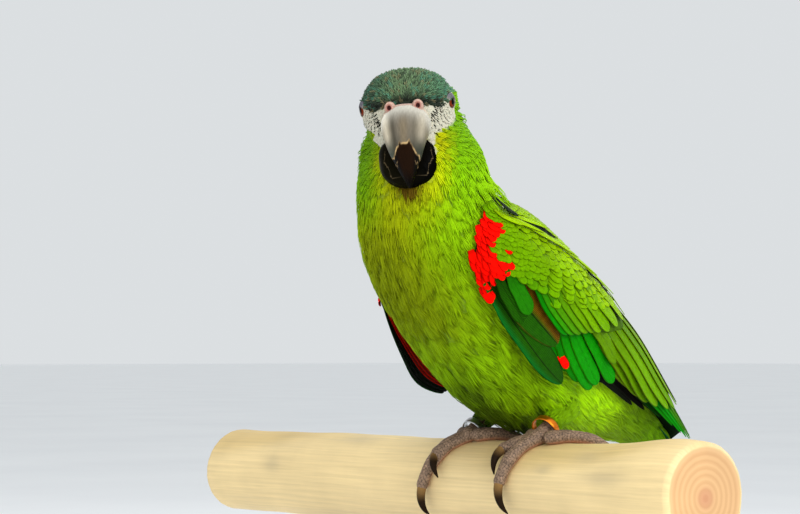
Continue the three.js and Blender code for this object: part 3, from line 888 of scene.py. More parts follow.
def crown_tone(left):
    """The crown's blue-green, bluer to its sides, with painted shade on the bird's right and painted light on
    its left.
    """
    tone = blend(colour(*CROWN), colour(*CROWN_BLUE), ramp(np.abs(left), 3, 15) * 0.85)
    return tone * (1 - 0.55 * ramp(-left, 3, 16) + 0.14 * ramp(left, 3, 15))[:, None]


def plumage(points, bare=1.0):
    """The colour of the skin and of the coat that grows from it, painted light and shade included. With bare
    at 0 the face has none.
    """
    forward, left, up = head_place(points)
    throat = np.exp(-(((forward - 16) / 12) ** 2 + (left / 5.5) ** 2 + ((up + 30) / 4.2) ** 2))
    tone = layered(body_tone(points), (STAIN, np.clip(throat * 1.5, 0, 0.92)))
    on_crown = crown_share(points, 1.8 * (1 - bare))
    tone = blend(tone, crown_tone(left), on_crown)
    # Painted shadow: a dark band over the forehead, under the crown's front edge.
    forehead = ramp(forward, 9, 13) * ramp(up - crown_edge(forward), 4.6, 2.0)
    return layered(tone, (FOREHEAD_SHADOW, forehead * on_crown * 0.95), (FACE, face_share(points) * bare))


def carve_eyes(points):
    """Sinks the skin round each eye, so that the eyeball and its lids stand over it."""
    for side in SIDES:
        centre, out = eye_centre(side), eye_axis(side)
        offset = points - centre
        height = dot(offset, out)
        radius = np.linalg.norm(offset - height[:, None] * out, axis=1)
        near = (radius < 5.5) & (height > 0)
        cap = np.where(radius < 2.5, 2.0, 3.45 + (radius - 2.5) * 0.45)
        drop = np.maximum(height - cap, 0) * near
        points = points - drop[:, None] * out
    return points


def eye_axis(side):
    """The way an eye looks."""
    return unit(head_vector(0.42, SIDES[side], -0.06))


class Skin:
    """The bird's one skin, with what is needed to lay feathers over it."""

    def __init__(self):
        rough = joined([body_form(), skull_form(), thigh_form("left"), thigh_form("right")])
        points, quads = remeshed(rough, voxel=1.15, smoothing=5)
        normals = normals_of(points, quads)
        if dot(normals, points - points.mean(axis=0)).mean() < 0:
            quads, normals = quads[:, ::-1], -normals
        drawn_in = points - normals * coat_depth(points)[:, None]
        self.points, self.quads, self.normals = carve_eyes(drawn_in), quads, normals
        self.tree = BVHTree.FromPolygons(drawn_in.tolist(), quads.tolist())

    def normals_at(self, faces):
        return unit(self.normals[self.quads[faces]].sum(axis=1))

    def nearest(self, points):
        """The nearest places on the skin, and its normals there."""
        places, faces = np.empty_like(points), np.empty(len(points), int)
        for i, p in enumerate(points.tolist()):
            places[i], _, faces[i], _ = self.tree.find_nearest(p)
        return places, self.normals_at(faces)

    def cast(self, points, way):
        """Where lines from points meet the skin, and its normals there."""
        hits = [self.tree.ray_cast(Vector(p), Vector(way), 60) for p in points.tolist()]
        found = [hit for hit in hits if hit[0] is not None]
        places, faces = np.array([hit[0][:] for hit in found]), np.array([hit[2] for hit in found])
        return places, self.normals_at(faces)


# How far each feather's patch of the baking map reaches to each side.
PATCH = 0.0015


def baking_place(points):
    """Where points lie on a flat unwrap of the body: round it and along it."""
    station, angle = body_place(points)
    return np.stack([0.5 + angle / 370, 0.06 + 0.88 * station / LAST], axis=-1)


def head_baking_place(points):
    """Where points lie on a flat unwrap of the head, seen as rings about its forward axis."""
    forward, left, up = head_place(points)
    off_axis = np.degrees(np.arctan2(np.hypot(left, up + 3), forward + 2))
    return np.stack([0.5 + np.arctan2(left, up + 3) / 6.4, 0.04 + off_axis / 200], axis=-1)


skin = Skin()
skin_look = skin_material()
# Under the feathers the skin takes their colours a little darker, as painted shade between them.
skin_tint = plumage(skin.points) * blend(np.full(3, 0.8), np.ones(3), face_share(skin.points))
make_piece("skin", (skin.points, [skin.quads]), skin_look, fields={"tint": skin_tint},
           stands_for=("head", "neck", "trunk", "rump", "thigh_left", "thigh_right"))

# ---- Locks and tufts ----

LOCK_RING = np.array([[0, 1], [1, 2], [2, 0]])
LOCK_STEPS = 3
LOCK_SIZE = 3 * LOCK_STEPS + 1
ALONG_LOCK = np.linspace(0, 1, LOCK_STEPS + 1)


def lock_faces(count):
    """Faces of many locks, each a three-sided spike that ends in a point."""
    ring = np.arange(LOCK_STEPS - 1)[:, None, None] * 3
    a, b = LOCK_RING[None, :, 0:1] + ring, LOCK_RING[None, :, 1:2] + ring
    walls = np.concatenate([a, b, b + 3, a + 3], axis=2).reshape(-1, 4)
    top = (LOCK_STEPS - 1) * 3
    ends = np.concatenate([np.column_stack([LOCK_RING + top, np.full(3, LOCK_SIZE - 1)]), [[0, 2, 1]]])
    start = (np.arange(count) * LOCK_SIZE)[:, None, None]
    return [(walls[None] + start).reshape(-1, 4), (ends[None] + start).reshape(-1, 3)]


def lock_points(spine, side, up, half, thick=0.55):
    """Points of many locks along their spines."""
    edge = half[:, :-1, None]
    left, right = spine[:, :-1] - side[:, :-1] * edge, spine[:, :-1] + side[:, :-1] * edge
    ridge = spine[:, :-1] + up[:, :-1] * edge * thick
    rings = np.stack([left, right, ridge], axis=2).reshape(len(spine), -1, 3)
    return np.concatenate([rings, spine[:, -1:]], axis=1)


def lie(points, normals):
    """The way the coat lies: back from the bill over the head, and along the body to the tail."""
    forward, left, up = head_place(points)
    on_head = head_vector(forward - 30, left * 0.8, up * 0.8 - 3)
    station, _ = body_place(points)
    _, along, _ = body_frame(np.clip(station, 0.6, LAST))
    return flat_on(blend(along, unit(on_head), head_share(points)), normals)


def flat_on(ways, normals):
    """Directions laid flat on surfaces with these normals."""
    return unit(ways - normals * dot(ways, normals)[..., None])


# Points tried for each place where a feather could grow.
CROWDING = 3.0


def scatter(gap_at):
    """Roots over the skin, gap_at(points) apart; a gap of 0 leaves the skin bare."""
    corners = np.concatenate([skin.quads[:, [0, 1, 2]], skin.quads[:, [0, 2, 3]]])
    a, b, c = (skin.points[corners[:, k]] for k in range(3))
    area = np.linalg.norm(np.cross(b - a, c - a), axis=1) / 2
    gap = gap_at((a + b + c) / 3)
    rate = np.cumsum(np.where(gap > 0, area / np.maximum(gap, 0.1) ** 2 * CROWDING, 0))
    total = int(rate[-1])
    pick = np.searchsorted(rate, chance.random(total) * rate[-1])
    s, t = np.sqrt(chance.random(total)), chance.random(total)
    points = a[pick] * (1 - s)[:, None] + b[pick] * (s * (1 - t))[:, None] + c[pick] * (s * t)[:, None]
    return points[thinned(points, gap[pick])]


class Coat:
    """Soft feathers of one region, each a fan of locks that lies over the skin."""

    def __init__(self, name, slot, look, locks, unwrap=baking_place):
        self.name, self.slot, self.look, self.locks, self.unwrap = name, slot, look, locks, unwrap

    def grow(self, roots, tones, sizes):
        """sizes(roots) gives each feather's length, width and height over the skin in millimetres."""
        count = len(roots)
        length, width, height = sizes(roots)
        length = length * chance.uniform(0.85, 1.15, count)
        swerve = np.radians(chance.normal(0, 7, count))
        here, normal = skin.nearest(roots)
        spine, normals = [here], [normal]
        for _ in range(LOCK_STEPS):
            flow = lie(here, normal)
            flow = flow * np.cos(swerve)[:, None] + np.cross(normal, flow) * np.sin(swerve)[:, None]
            here, normal = skin.nearest(here + flow * (length / LOCK_STEPS)[:, None])
            spine.append(here)
            normals.append(normal)
        spine, up = np.stack(spine, axis=1), np.stack(normals, axis=1)
        side = unit(np.cross(up, unit(np.gradient(spine, axis=1))))
        t = ALONG_LOCK
        raised = np.clip((height - 2.5) / 3, 0, 1)[:, None]
        rise = np.interp(t, [0, 0.3, 0.8, 1], [-0.15, 0.5, 1.0, 0.85]) * (1 - raised)
        rise = rise + np.interp(t, [0, 0.3, 0.8, 1], [0.3, 0.72, 1.0, 0.86]) * raised
        height = height + np.minimum(height, 2.0) * chance.uniform(-0.2, 0.1, count)
        spine = spine + up * (rise * height[:, None])[..., None]
        spine[..., 2] -= hang(roots)[:, None] * t**2
        self.comb(spine, side, up, width, height, tones, self.unwrap(roots))

    def comb(self, spine, side, up, width, height, tones, patch_places):
        """Splits each feather along its spine into locks, and makes them one piece."""
        count, locks, t = len(spine), self.locks, ALONG_LOCK
        place = np.linspace(-1, 1, locks)[None] + chance.uniform(-0.4, 0.4, (count, locks)) / locks
        reach = (1 - 0.26 * place**2) * chance.uniform(0.66, 1.08, (count, locks))
        spread = np.interp(t, [0, 0.35, 0.75, 1], [0.25, 0.75, 1.0, 0.92])
        aside = place[..., None] * spread * (width / 2)[:, None, None]
        droop = -0.16 * place**2 * (width / 2)[:, None]
        droop = droop + chance.normal(0, 0.05, (count, locks)) * np.minimum(height, 2.5)[:, None]
        start, stretch = spine[:, None, :1], (spine - spine[:, :1])[:, None] * reach[..., None, None]
        barb = start + stretch + side[:, None] * aside[..., None]
        barb = barb + up[:, None] * (droop[..., None] * t)[..., None]
        half = (width / locks * 0.72)[:, None, None] * np.interp(t, [0, 0.5, 1], [0.75, 1.0, 0.35])
        half = np.broadcast_to(half, barb.shape[:3])
        wide, high = (np.broadcast_to(v[:, None], barb.shape) for v in (side, up))
        barb, wide, high = (v.reshape(count * locks, LOCK_STEPS + 1, 3) for v in (barb, wide, high))
        points = lock_points(barb, wide, high, half.reshape(count * locks, LOCK_STEPS + 1))

        along = np.append(np.repeat(t[:-1], 3), 1.0)
        across = np.append(np.tile([-1.0, 1.0, 0.0], LOCK_STEPS), 0.0)
        shades = chance.normal(1, 0.035, (count, 1)) * chance.normal(1, 0.08, (count, locks))
        fade = np.interp(along, [0, 0.5, 1], [0.82, 1.0, 1.10])
        tone = tones[:, None, None] * (shades[..., None] * fade)[..., None]
        own = np.broadcast_to(chance.random((count, locks, 1)) * 50, (count, locks, LOCK_SIZE))
        vane = np.stack(matched(across * 0.5 + place[..., None] * 3, along, own), axis=-1)
        corner = np.stack(matched((place[..., None] + across / locks) * 0.8, along * 2 - 1), axis=-1)
        patch = patch_places[:, None, None] + PATCH * corner
        make_piece(self.name, (points.reshape(-1, 3), lock_faces(count * locks)), self.look,
                   fields={"tint": np.clip(tone, 0, 1).reshape(-1, 3), "vane": vane.reshape(-1, 3)},
                   patch=patch.reshape(-1, 2))


def under_wing(points):
    """1 where a folded wing hides the skin."""
    station, angle = body_place(points)
    away = np.abs(angle)
    low = between([100, 80, 42, 28, 24, 22, 22, 26, 40], (station - 2.2) / 0.75)
    high = between([92, 104, 112, 112, 104, 98, 88, 70, 56], (station - 2.2) / 0.75)
    return (station > 2.75) & (station < 8.3) & (away > low) & (away < high)


def eye_distance(points):
    """How far points are from the nearer eye's outer face."""
    return np.minimum(*(np.linalg.norm(points - eye_centre(s) - eye_axis(s) * 3, axis=1) for s in SIDES))


def hang(points):
    """How far the tips of the belly's and thighs' feathers hang off the skin."""
    station, angle = body_place(points)
    return 3.4 * (window(station, 4.7, 5.4, 6.2, 6.9) * ramp(np.abs(angle), 118, 140))


BODY_GAPS = [1.9, 2.2, 2.7, 3.4, 3.9, 4.2, 4.4, 4.2, 3.4, 2.6]


def feather_gap(points):
    """How far apart feathers grow: close on the head, wider down the body, and none on bare skin."""
    station, _ = body_place(points)
    forward, left, up = head_place(points)
    gap = between(BODY_GAPS, station)
    on_head = head_share(points)
    gap = gap + (1.5 - gap) * on_head * (1 - crown_share(points))
    gap = gap + (0.84 - gap) * crown_share(points)
    under_bill = (forward > 8) & (np.abs(left) < 10.5) & (up > -29)
    bare = (face_share(points) > 0.7) | under_wing(points) | (eye_distance(points) < 3.4)
    bare |= under_bill & (crown_share(points) < 0.5) | (station > 8.97)
    return np.where(bare, 0, gap)


def body_size(roots):
    """The soft feathers' lengths, widths and heights over the skin."""
    station, angle = body_place(roots)
    forward, left, up = head_place(roots)
    away, on_head = np.abs(angle), head_share(roots)
    length = between([5.5, 7.5, 10, 13, 15, 17, 18, 16, 13, 8], station)
    width = between([3.2, 3.8, 5, 6.4, 7.2, 7.6, 7.8, 7, 6, 4.4], station)
    length = length + (4.8 - length) * on_head
    width = width + (2.6 - width) * on_head
    nape = on_head * ramp(forward, 0, -4) * ramp(left, 10, 15) * ramp(up, -13, -5) * ramp(up, 11, 3)
    jowl = on_head * ramp(forward, 3, -3) * ramp(-left, 8, 13) * ramp(up, -24, -16) * ramp(up, 0, -6)
    mantle = window(station, 1.5, 2.1, 2.5, 3.1) * ramp(away, 100, 75) * ramp(away, 25, 45)
    length = (length + 0.4 * nape + 1.2 * jowl) * 1.15
    width = width + 0.8 * nape
    return length, width, coat_depth(roots) * 0.58 + 3.9 * nape + 2.2 * jowl + 3.0 * mantle


def crown_size(roots):
    """The same for the crown's short velvet."""
    return tuple(np.full(len(roots), size) for size in (3.0, 1.3, 1.5))


def grow_coat():
    """All soft feathers, piece by piece: crown, cheeks, neck, breast, belly and rump."""
    roots = scatter(feather_gap)
    station, _ = body_place(roots)
    crown = crown_share(roots, 0.6) > 0.5
    tones = plumage(roots, bare=0.0)
    velvet = plumage_material("crown_plumage", 0.7, 0.08)
    flecks = chance.random(len(roots))
    tones = layered(tones, ((70, 128, 104), crown * (flecks < 0.14) * 0.6),
                    ((122, 112, 78), crown * (flecks > 0.88) * 0.55),
                    ((30, 44, 30), crown * (np.abs(flecks - 0.5) < 0.09) * 0.6))
    cheek = ~crown & (head_share(roots) > 0.35)
    body = ~crown & ~cheek
    regions = {
        "crown_feathers": (crown, "plumage_crown", velvet, 3, head_baking_place),
        "cheek_feathers": (cheek, "plumage_green", soft_look, 5, head_baking_place),
        "neck_feathers": (body & (station < 2.3), "plumage_green", soft_look, 13),
        "breast_feathers": (body & (station >= 2.3) & (station < 4.0), "plumage_green", soft_look, 17),
        "belly_feathers": (body & (station >= 4.0) & (station < 6.2), "plumage_green", soft_look, 17),
        "rump_feathers": (body & (station >= 6.2), "plumage_green", soft_look, 17),
    }
    for name, (here, *settings) in regions.items():
        sizes = crown_size if name == "crown_feathers" else body_size
        Coat(name, *settings).grow(roots[here], tones[here], sizes)


def make_trousers(side):
    """The thigh's lowest feathers, in three tiers round the top of the shank."""
    foot, top = ankle(side), heel(side)
    long = np.linalg.norm(foot - top)
    down = (foot - top) / long
    across = unit(np.cross(down, [0.3, 1.0, 0.2]))
    front = np.cross(down, across)
    tier, around = (v.ravel() for v in grid([0.98, 0.8, 0.64], circle(14)))
    count = len(tier)
    around = around + tier * 9 + chance.uniform(-0.12, 0.12, count)
    share = tier[:, None] - 9.4 / long * ALONG_LOCK * chance.uniform(0.9, 1.1, (count, 1))
    radius = 3.7 + 2.6 * ramp(share, 0.3, 1.05) + 0.4 * ALONG_LOCK
    radial = across * np.cos(around)[:, None] + front * np.sin(around)[:, None]
    up = np.broadcast_to(radial[:, None], share.shape + (3,))
    spine = foot - down * (share * long)[..., None] + up * radius[..., None]
    side_way = np.cross(up, np.broadcast_to(down, up.shape))
    tones = by_station(FLANK, np.full(count, 5.4)) * chance.normal(0.85, 0.06, (count, 1))
    # Painted shade: the far leg's feathers are much darker.
    tones = tones * (0.35 if side == "right" else 1.0)
    wide = np.full(count, 4.6)
    coat = Coat("thigh_feathers_" + side, "plumage_green", soft_look, 11)
    coat.comb(spine, side_way, up, wide, wide * 0.3, tones, baking_place(spine[:, 0]))


soft_look = plumage_material("soft_plumage", 0.62, 0.0)
grow_coat()
for side in SIDES:
    make_trousers(side)

# ---- Wings and tail ----

# The shells of each wing by station: their upper and lower edges in degrees, and how far their inner and
# outer faces stand off the body. The core is drawn in from the edges by so many degrees.
CORE_INSET = 5.0
SHELLS = {
    "arm": {
        "stations": (2.45, 6.1),
        "upper": [72, 34, 20, 14, 14, 22, 42],
        "lower": [102, 120, 121, 112, 105, 92, 66],
        "under": [0.9, 1.6, 3.6, 4.1, 4.3, 4.5, 4.6],
        "lift": [2, 5, 7, 7.8, 8.2, 7.8, 6],
    },
    "inner": {
        "stations": (4.3, 9.0),
        "upper": [32, 22, 14, 9, 8, 14, 30],
        "lower": [95, 98, 113, 102, 92, 68, 48],
        "under": [0.9, 0.9, 0.9, 0.9, 0.9, 1.2, 1.4],
        "lift": [2.8, 3.2, 3.5, 5, 6.4, 6, 4.6],
    },
}


def shell_top(name, station, angle):
    """How far a wing shell's outer face stands off the body."""
    shell = SHELLS[name]
    first, last = shell["stations"]
    place = np.clip((station - first) / (last - first), 0, 1) * (len(shell["lift"]) - 1)
    upper, lower, under, lift = (between(shell[key], place) for key in ("upper", "lower", "under", "lift"))
    across = np.clip((angle - upper) / (lower - upper), 0, 1)
    crown = 0.35 + 0.65 * (1 - np.abs(2 * across - 1) ** 3)
    return under + 0.6 + (lift - under - 0.6) * crown


def settled(lift, angle):
    """Lets the wing sink to the back's feathers along its upper edge."""
    return lift * (0.35 + 0.65 * ramp(angle, 12, 38))


def tip_rise(station, angle):
    """How far the folded wing's tip stands off the rump."""
    return 5.0 * ramp(station, 4.6, 6.9) * ramp(angle, 100, 82)


def shell_form(name, sign, sink):
    """A core for the feathers to lie on, painted dark as painted shade: the wing shell drawn in from its
    edges and outer face.
    """
    shell = SHELLS[name]
    first, last = shell["stations"]
    along, across = grid(np.linspace(0.03, 0.96, 34), np.linspace(0, 1, 20))
    place = along * (len(shell["lift"]) - 1)
    station = first + (last - first) * along
    upper, lower = between(shell["upper"], place) + CORE_INSET, between(shell["lower"], place) - CORE_INSET
    lower = lower - 7 * ramp(station, 8.0, 8.8)
    angle = upper + (lower - upper) * across
    top = shell_top(name, station, angle) - sink
    if name == "arm":
        wrist = ramp(angle, 90, 102) * ramp(station, 3.1, 3.4) * ramp(station, 5.1, 4.8)
        front = ramp(np.interp(station, *WING_FRONT) - angle, 11, 3) * ramp(station, 3.4, 3.2)
        top = top - 3.4 * np.maximum(wrist, front)
    top = np.maximum(settled(top, angle), 0.3) + tip_rise(station, angle)
    outer, inner = body_surface(station, sign * angle, top), body_surface(station, sign * angle, -0.6)
    return loft(np.concatenate([outer, inner[:, ::-1]], axis=1))


# Each kind of feather by the share of its length that its tip rounds off, how wide its root is, and how
# blunt the tip is.
FEATHER_KINDS = {
    "scale": (0.42, 0.75, 2.2), "round": (0.22, 0.55, 2.1), "broad": (0.40, 0.5, 2.0),
    "long": (0.45, 0.5, 1.8), "leaf": (0.62, 0.45, 1.7), "point": (0.85, 0.4, 1.25),
}


def vane_profile(t, kind):
    """Half the width of a feather along it, as a share of its widest."""
    tip, root, power = FEATHER_KINDS[kind]
    rounding = np.clip((t - (1 - tip)) / tip, 0, 1)
    return (root + (1 - root) * ramp(t, 0, 0.4)) * np.sqrt(np.clip(1 - rounding**power, 0.0016, 1))


class Vanes:
    """Firm feathers of one region, gathered into one piece."""

    def __init__(self, name, slot, look):
        self.name, self.slot, self.look = name, slot, look
        self.points, self.faces, self.fields, self.patches, self.count = [], [], [], [], 0

    def add(self, spine, side, up, wide, *, tint, rim, marks, kind, under=0.35, columns=6, tilt=0.3,
            thick=0.22, blue=None, dusk=None, curve=34.0):
        """Feathers along spines (feather, step, xyz). The vane toward side is wide[0], the other wide[1]."""
        count, steps = spine.shape[0], spine.shape[1] - 1
        low, high = (np.broadcast_to(w, count)[:, None, None] for w in wide)
        tint, rim, marks = (np.broadcast_to(v, (count, 3))[:, None] for v in (tint, rim, marks))
        t = np.sin(np.linspace(0, np.pi / 2, steps + 1))
        length = np.linalg.norm(np.diff(spine, axis=1), axis=-1).sum(axis=1)
        profile = np.broadcast_to(vane_profile(t, kind), (count, steps + 1))[..., None]
        top = np.linspace(-1, 1, columns + 1)
        ring_x = np.concatenate([top, top[-2:0:-1]])
        below = np.concatenate([np.zeros(columns + 1), np.ones(columns - 1)])
        wave = 0.05 * np.sin(t * 9)[None, :, None] * chance.normal(0, 1, (count, 1, 1)) * np.abs(ring_x)
        aside = ring_x * (np.where(ring_x > 0, low, high) * profile) * (1 + wave)
        height = tilt * ring_x * profile - aside**2 / (2 * curve) - below * thick
        height = height + 0.10 * bell(ring_x, 0, 0.12) * (1 - below)
        points = spine[:, :, None] + side[:, :, None] * aside[..., None] + up[:, :, None] * height[..., None]
        self.gather(points)

        x = np.append(np.tile(ring_x, steps + 1), [0, 0])
        along = np.append(np.repeat(t, len(ring_x)), [0, 1])
        beneath = np.append(np.tile(below, steps + 1), [0, 0])
        tone = tint * (0.62 + 0.42 * ramp(along, 0, 0.6))[None, :, None]
        if blue is not None:
            tone = blend(tone, blue, ramp(x, 0.25, 0.9) * 0.85)
        if dusk is not None:
            tone = blend(tone, dusk, ramp(-x, 0.02, 0.26))
        # Painted shade: each feather's underside is darkened by the share under.
        tone = tone * np.where(beneath > 0, under, 1)[None, :, None]
        own = np.broadcast_to(chance.random((count, 1)) * 40, (count, len(x)))
        out = np.maximum(np.abs(x), np.clip((along - 0.82) / 0.18, 0, 1) if kind == "scale" else 0)
        vane = np.stack([np.broadcast_to(out, own.shape), along * length[:, None] / 10, own], axis=-1)
        rim, marks = (np.broadcast_to(v, tone.shape) for v in (rim, marks))
        fields = {"tint": tone, "vane": vane, "rim": rim, "marks": marks}
        self.fields.append({key: value.reshape(-1, 3) for key, value in fields.items()})
        corner = np.stack([x, along * 2 - 1], axis=-1)
        self.patches.append((baking_place(spine[:, 0])[:, None] + PATCH * corner).reshape(-1, 2))

    def gather(self, points):
        """Closes feathers of points (feather, step, place round it, xyz) at both ends and keeps them."""
        count, rows, sides = points.shape[:3]
        ends = np.concatenate([points[:, :1].mean(axis=2), points[:, -1:].mean(axis=2)], axis=1)
        every = np.concatenate([points.reshape(count, rows * sides, 3), ends], axis=1)
        start = self.count + (np.arange(count) * every.shape[1])[:, None, None]
        self.faces += [(f[None] + start).reshape(-1, f.shape[1]) for f in loft(points[0])[1]]
        self.points.append(every.reshape(-1, 3))
        self.count += count * every.shape[1]

    def make(self, stands_for=()):
        fields = {key: np.concatenate([f[key] for f in self.fields]) for key in self.fields[0]}
        return make_piece(self.name, (np.concatenate(self.points), self.faces), self.look,
                          fields=fields, patch=np.concatenate(self.patches), stands_for=stands_for)


def along_body(root, tip, lift, sign, steps, bow=0.0):
    """Spines over the body from roots to tips, each a pair of stations and angles, with their frames."""
    root, tip = (np.reshape(np.array(end, float), (2, -1, 1)) for end in (root, tip))
    t = np.sin(np.linspace(0, np.pi / 2, steps + 1))[None]
    station = root[0] + (tip[0] - root[0]) * t
    angle = root[1] + (tip[1] - root[1]) * (t + bow * t * (1 - t))
    height = settled(lift(station, angle, t), angle) + tip_rise(station, angle)
    spine = body_surface(station, sign * angle, height)
    up = unit(body_surface(station, sign * angle, height + 1) - spine)
    ahead = unit(np.gradient(spine, axis=1))
    side = body_surface(station, sign * (angle + 1), height) - spine
    side = unit(side - ahead * dot(side, ahead)[..., None])
    up = up - ahead * dot(up, ahead)[..., None]
    return spine, side, unit(up - side * dot(up, side)[..., None])


# Near-black for painted shade on the lowest primaries.
SHADE_BLACK = colour(8, 10, 6)
RIM_DARK = colour(30, 52, 4)
RIM_BROWN = colour(112, 92, 10)
RED = colour(255, 4, 2)
LEAF = colour(70, 134, 2)
GRASS = colour(100, 150, 0)
LIME = colour(138, 176, 2)
DEEP = colour(12, 142, 2)
FOREST = colour(30, 89, 4)
TEAL = colour(2, 112, 78)
BRONZE = colour(112, 78, 8)

# Rows of the wing's long feathers, from the lowest to those that lie over them. Roots and tips are curves
# of stations and angles, from the feather nearest the belly to the one nearest the back; wide is the low
# and the high vane's width, lift how far root and tip stand off the body, over a shell if one is named.
WING_ROWS = {
    "primaries": {
        "count": 13, "kind": "point", "wide": (3.4, 4.4), "steps": 22,
        "root": ([4.9, 5.2, 5.6, 5.8], [104, 92, 60, 20]),
        "tip": ([7.1, 7.75, 8.35, 8.75, 8.97, 8.98, 8.9, 8.7], [101, 90, 80, 68, 56, 43, 30, 18]),
        "lift": ([1.0, 1.6], [1.2, 3.6]), "rim": RIM_DARK, "marks": (0.6, 0.6, 0.3),
        # The two lowest, nearest the belly, are painted near-black as painted shade.
        "tints": [SHADE_BLACK, FOREST * 0.12, DEEP * 0.95, DEEP, LEAF * 1.3, LEAF * 1.3, DEEP, LEAF],
    },
    "tertials": {
        "count": 10, "kind": "long", "wide": (5.2, 5.2), "steps": 20,
        "root": ([5.1, 5.3, 5.3, 5.2], [90, 74, 48, 18]),
        "tip": ([6.75, 7.15, 7.5, 7.95, 8.15, 8.2, 7.9], [93.5, 92, 87, 72, 52, 36, 18]),
        "lift": ([2.2, 3.6], [2.6, 5.6]), "rim": RIM_BROWN * 0.6, "marks": (0.4, 0.8, 0.2),
        "tints": [GRASS * 0.8, GRASS * 0.95, GRASS * 1.1, GRASS, LIME * 0.85, LEAF * 1.2],
    },
    "secondaries": {
        "count": 6, "kind": "round", "wide": (4.0, 4.4), "steps": 20,
        "root": ([4.35, 4.55, 4.75, 5.0], [103, 98, 92, 84]),
        "tip": ([5.35, 5.62, 5.90, 5.95, 6.24, 6.02], [113, 114, 113.5, 109, 101.5, 93]),
        "lift": ([2.4, 3.4], [2.8, 4.6]), "rim": LEAF * 0.9, "marks": (0.2, 0.6, 0.25),
        "tints": [DEEP * 0.6, DEEP * 0.75, DEEP * 0.95, DEEP * 1.05, DEEP * 1.1, GRASS * 0.85],
    },
    "greater_coverts": {
        "count": 12, "kind": "round", "wide": (3.7, 4.0), "steps": 14, "shell": "arm",
        "root": ([3.9, 4.3, 4.75, 5.1], [96.5, 87, 66, 22]),
        "tip": ([4.90, 5.06, 5.22, 5.38, 5.60, 5.85, 6.1, 6.2], [101.4, 98, 93.5, 89.5, 80.5, 62, 40, 20]),
        "lift": ([-1.8], [-1.4]), "rim": RIM_DARK, "marks": (0.15, 0.9, 0.2),
        "tints": [DEEP * 0.9, LEAF * 1.2, GRASS * 1.15, GRASS * 1.2, LIME, LIME * 0.9],
    },
}

# The outer feathers that hang from the wrist, each by its root, tip, vanes and look.
OUTER_FEATHERS = [
    {"root": (3.45, 113), "tip": (5.15, 117), "wide": (3.4, 5.0), "kind": "long", "lift": (0.7, 0.8),
     "tint": FOREST * 0.4, "rim": RIM_DARK, "marks": (0.9, 0.5, 0.4)},
    {"root": (3.35, 115.5), "tip": (5.36, 121.5), "wide": (4.6, 7.4), "kind": "broad", "lift": (1.4, 2.0),
     "tint": FOREST, "rim": FOREST * 0.5, "marks": (1.0, 0.5, 0.6), "bow": 0.9,
     "blue": blend(DEEP, TEAL, 0.3) * 0.8},
    {"root": (3.30, 107), "tip": (4.87, 108.5), "wide": (7.0, 8.6), "kind": "broad", "lift": (3.6, 2.9),
     "tint": FOREST * 1.1, "rim": colour(126, 100, 40), "marks": (1.0, 0.3, 0.6), "bow": 0.7, "dusk": BRONZE},
    {"root": (3.38, 110), "tip": (4.14, 114), "wide": (3.4, 3.2), "kind": "round", "lift": (4.0, 4.2),
     "tint": FOREST * 1.05, "rim": RIM_DARK, "marks": (0.7, 0.7, 0.7)},
    {"root": (3.38, 102.5), "tip": (4.13, 109), "wide": (3.6, 4.0), "kind": "round", "lift": (4.6, 5.0),
     "tint": blend(FOREST, DEEP, 0.25) * 1.15, "rim": RIM_DARK, "marks": (0.1, 0.5, 0.12)},
]
OUTER_SWING = {"left": [0, 0.6, 1.2, 1.6, 1.4], "right": [1, 5, 10, 14, 12]}
# How much of that swing each layer of the outer feathers takes. The far wing shows several, red innermost.
OUTER_LAYERS = {"left": [1.0], "right": [1.0, 0.85, 0.7, 0.56, 0.42, 0.28]}
UNDERWING = {"root": ([4.3, 4.5, 4.7], [109, 108, 107]), "tip": ([5.22, 5.34, 5.44], [116.5, 114.5, 112])}

# Lines over the wing, each as stations and angles: where red gives way to green, the lower front edge
# of the small coverts, the tips of the lowest round coverts, and the dark gap below the shoulder's.
RED_EDGE = ([2.45, 2.55, 2.84, 2.90, 2.95, 3.02, 3.14, 3.20, 3.26, 3.40, 3.48, 3.52, 3.54, 3.62],
            [98, 93, 85, 88, 95, 103.5, 101.5, 106, 103, 99, 102, 109, 115, 122])
WING_FRONT = ([2.30, 2.55, 2.75, 2.95, 3.10, 3.35, 3.58], [89, 95, 105, 111, 118, 119.5, 121.5])
WING_LOWER = ([3.40, 3.52, 3.62, 3.90, 4.15, 4.40, 4.65, 5.0], [105, 104.5, 102, 99, 97.5, 97.5, 99, 101])
ROUND_TIPS = ([4.76, 4.62, 4.44, 4.48, 4.58, 4.82, 5.07, 5.3, 5.55, 5.75, 5.8],
              [104.5, 102, 98.5, 95, 92, 87, 82, 74, 60, 44, 16])
GAP_LINE = ([2.3, 2.6, 3.0, 3.42, 3.95, 4.5, 5.0, 5.5, 5.8], [80, 73, 66, 60, 53, 49, 50, 51, 50])


def is_red(station, angle):
    """The bend of the wing, with one small spot apart from it."""
    spot = ((station - 3.27) / 0.07) ** 2 + ((angle - 95.5) / 2.2) ** 2 < 1
    return ((angle > np.interp(station, *RED_EDGE)) & (station < 3.66)) | spot


def covert_tone(station, angle):
    """The small coverts' green: deep at the wing's lower front, yellower toward the back."""
    tone = blend(LEAF, GRASS, ramp(angle, 118, 96))
    tone = blend(tone, LIME, ramp(angle, 92, 55) * 0.85)
    tone = blend(tone, RIM_BROWN * 1.4, ramp(angle, 46, 34) * ramp(station, 6, 5) * 0.5)
    tone = blend(tone, DEEP * 0.8, ramp(station, 3.5, 4.1) * ramp(angle, 90, 100) * 0.45)
    return tone * (1 + 0.18 * ramp(station, 4.0, 4.4))[:, None]


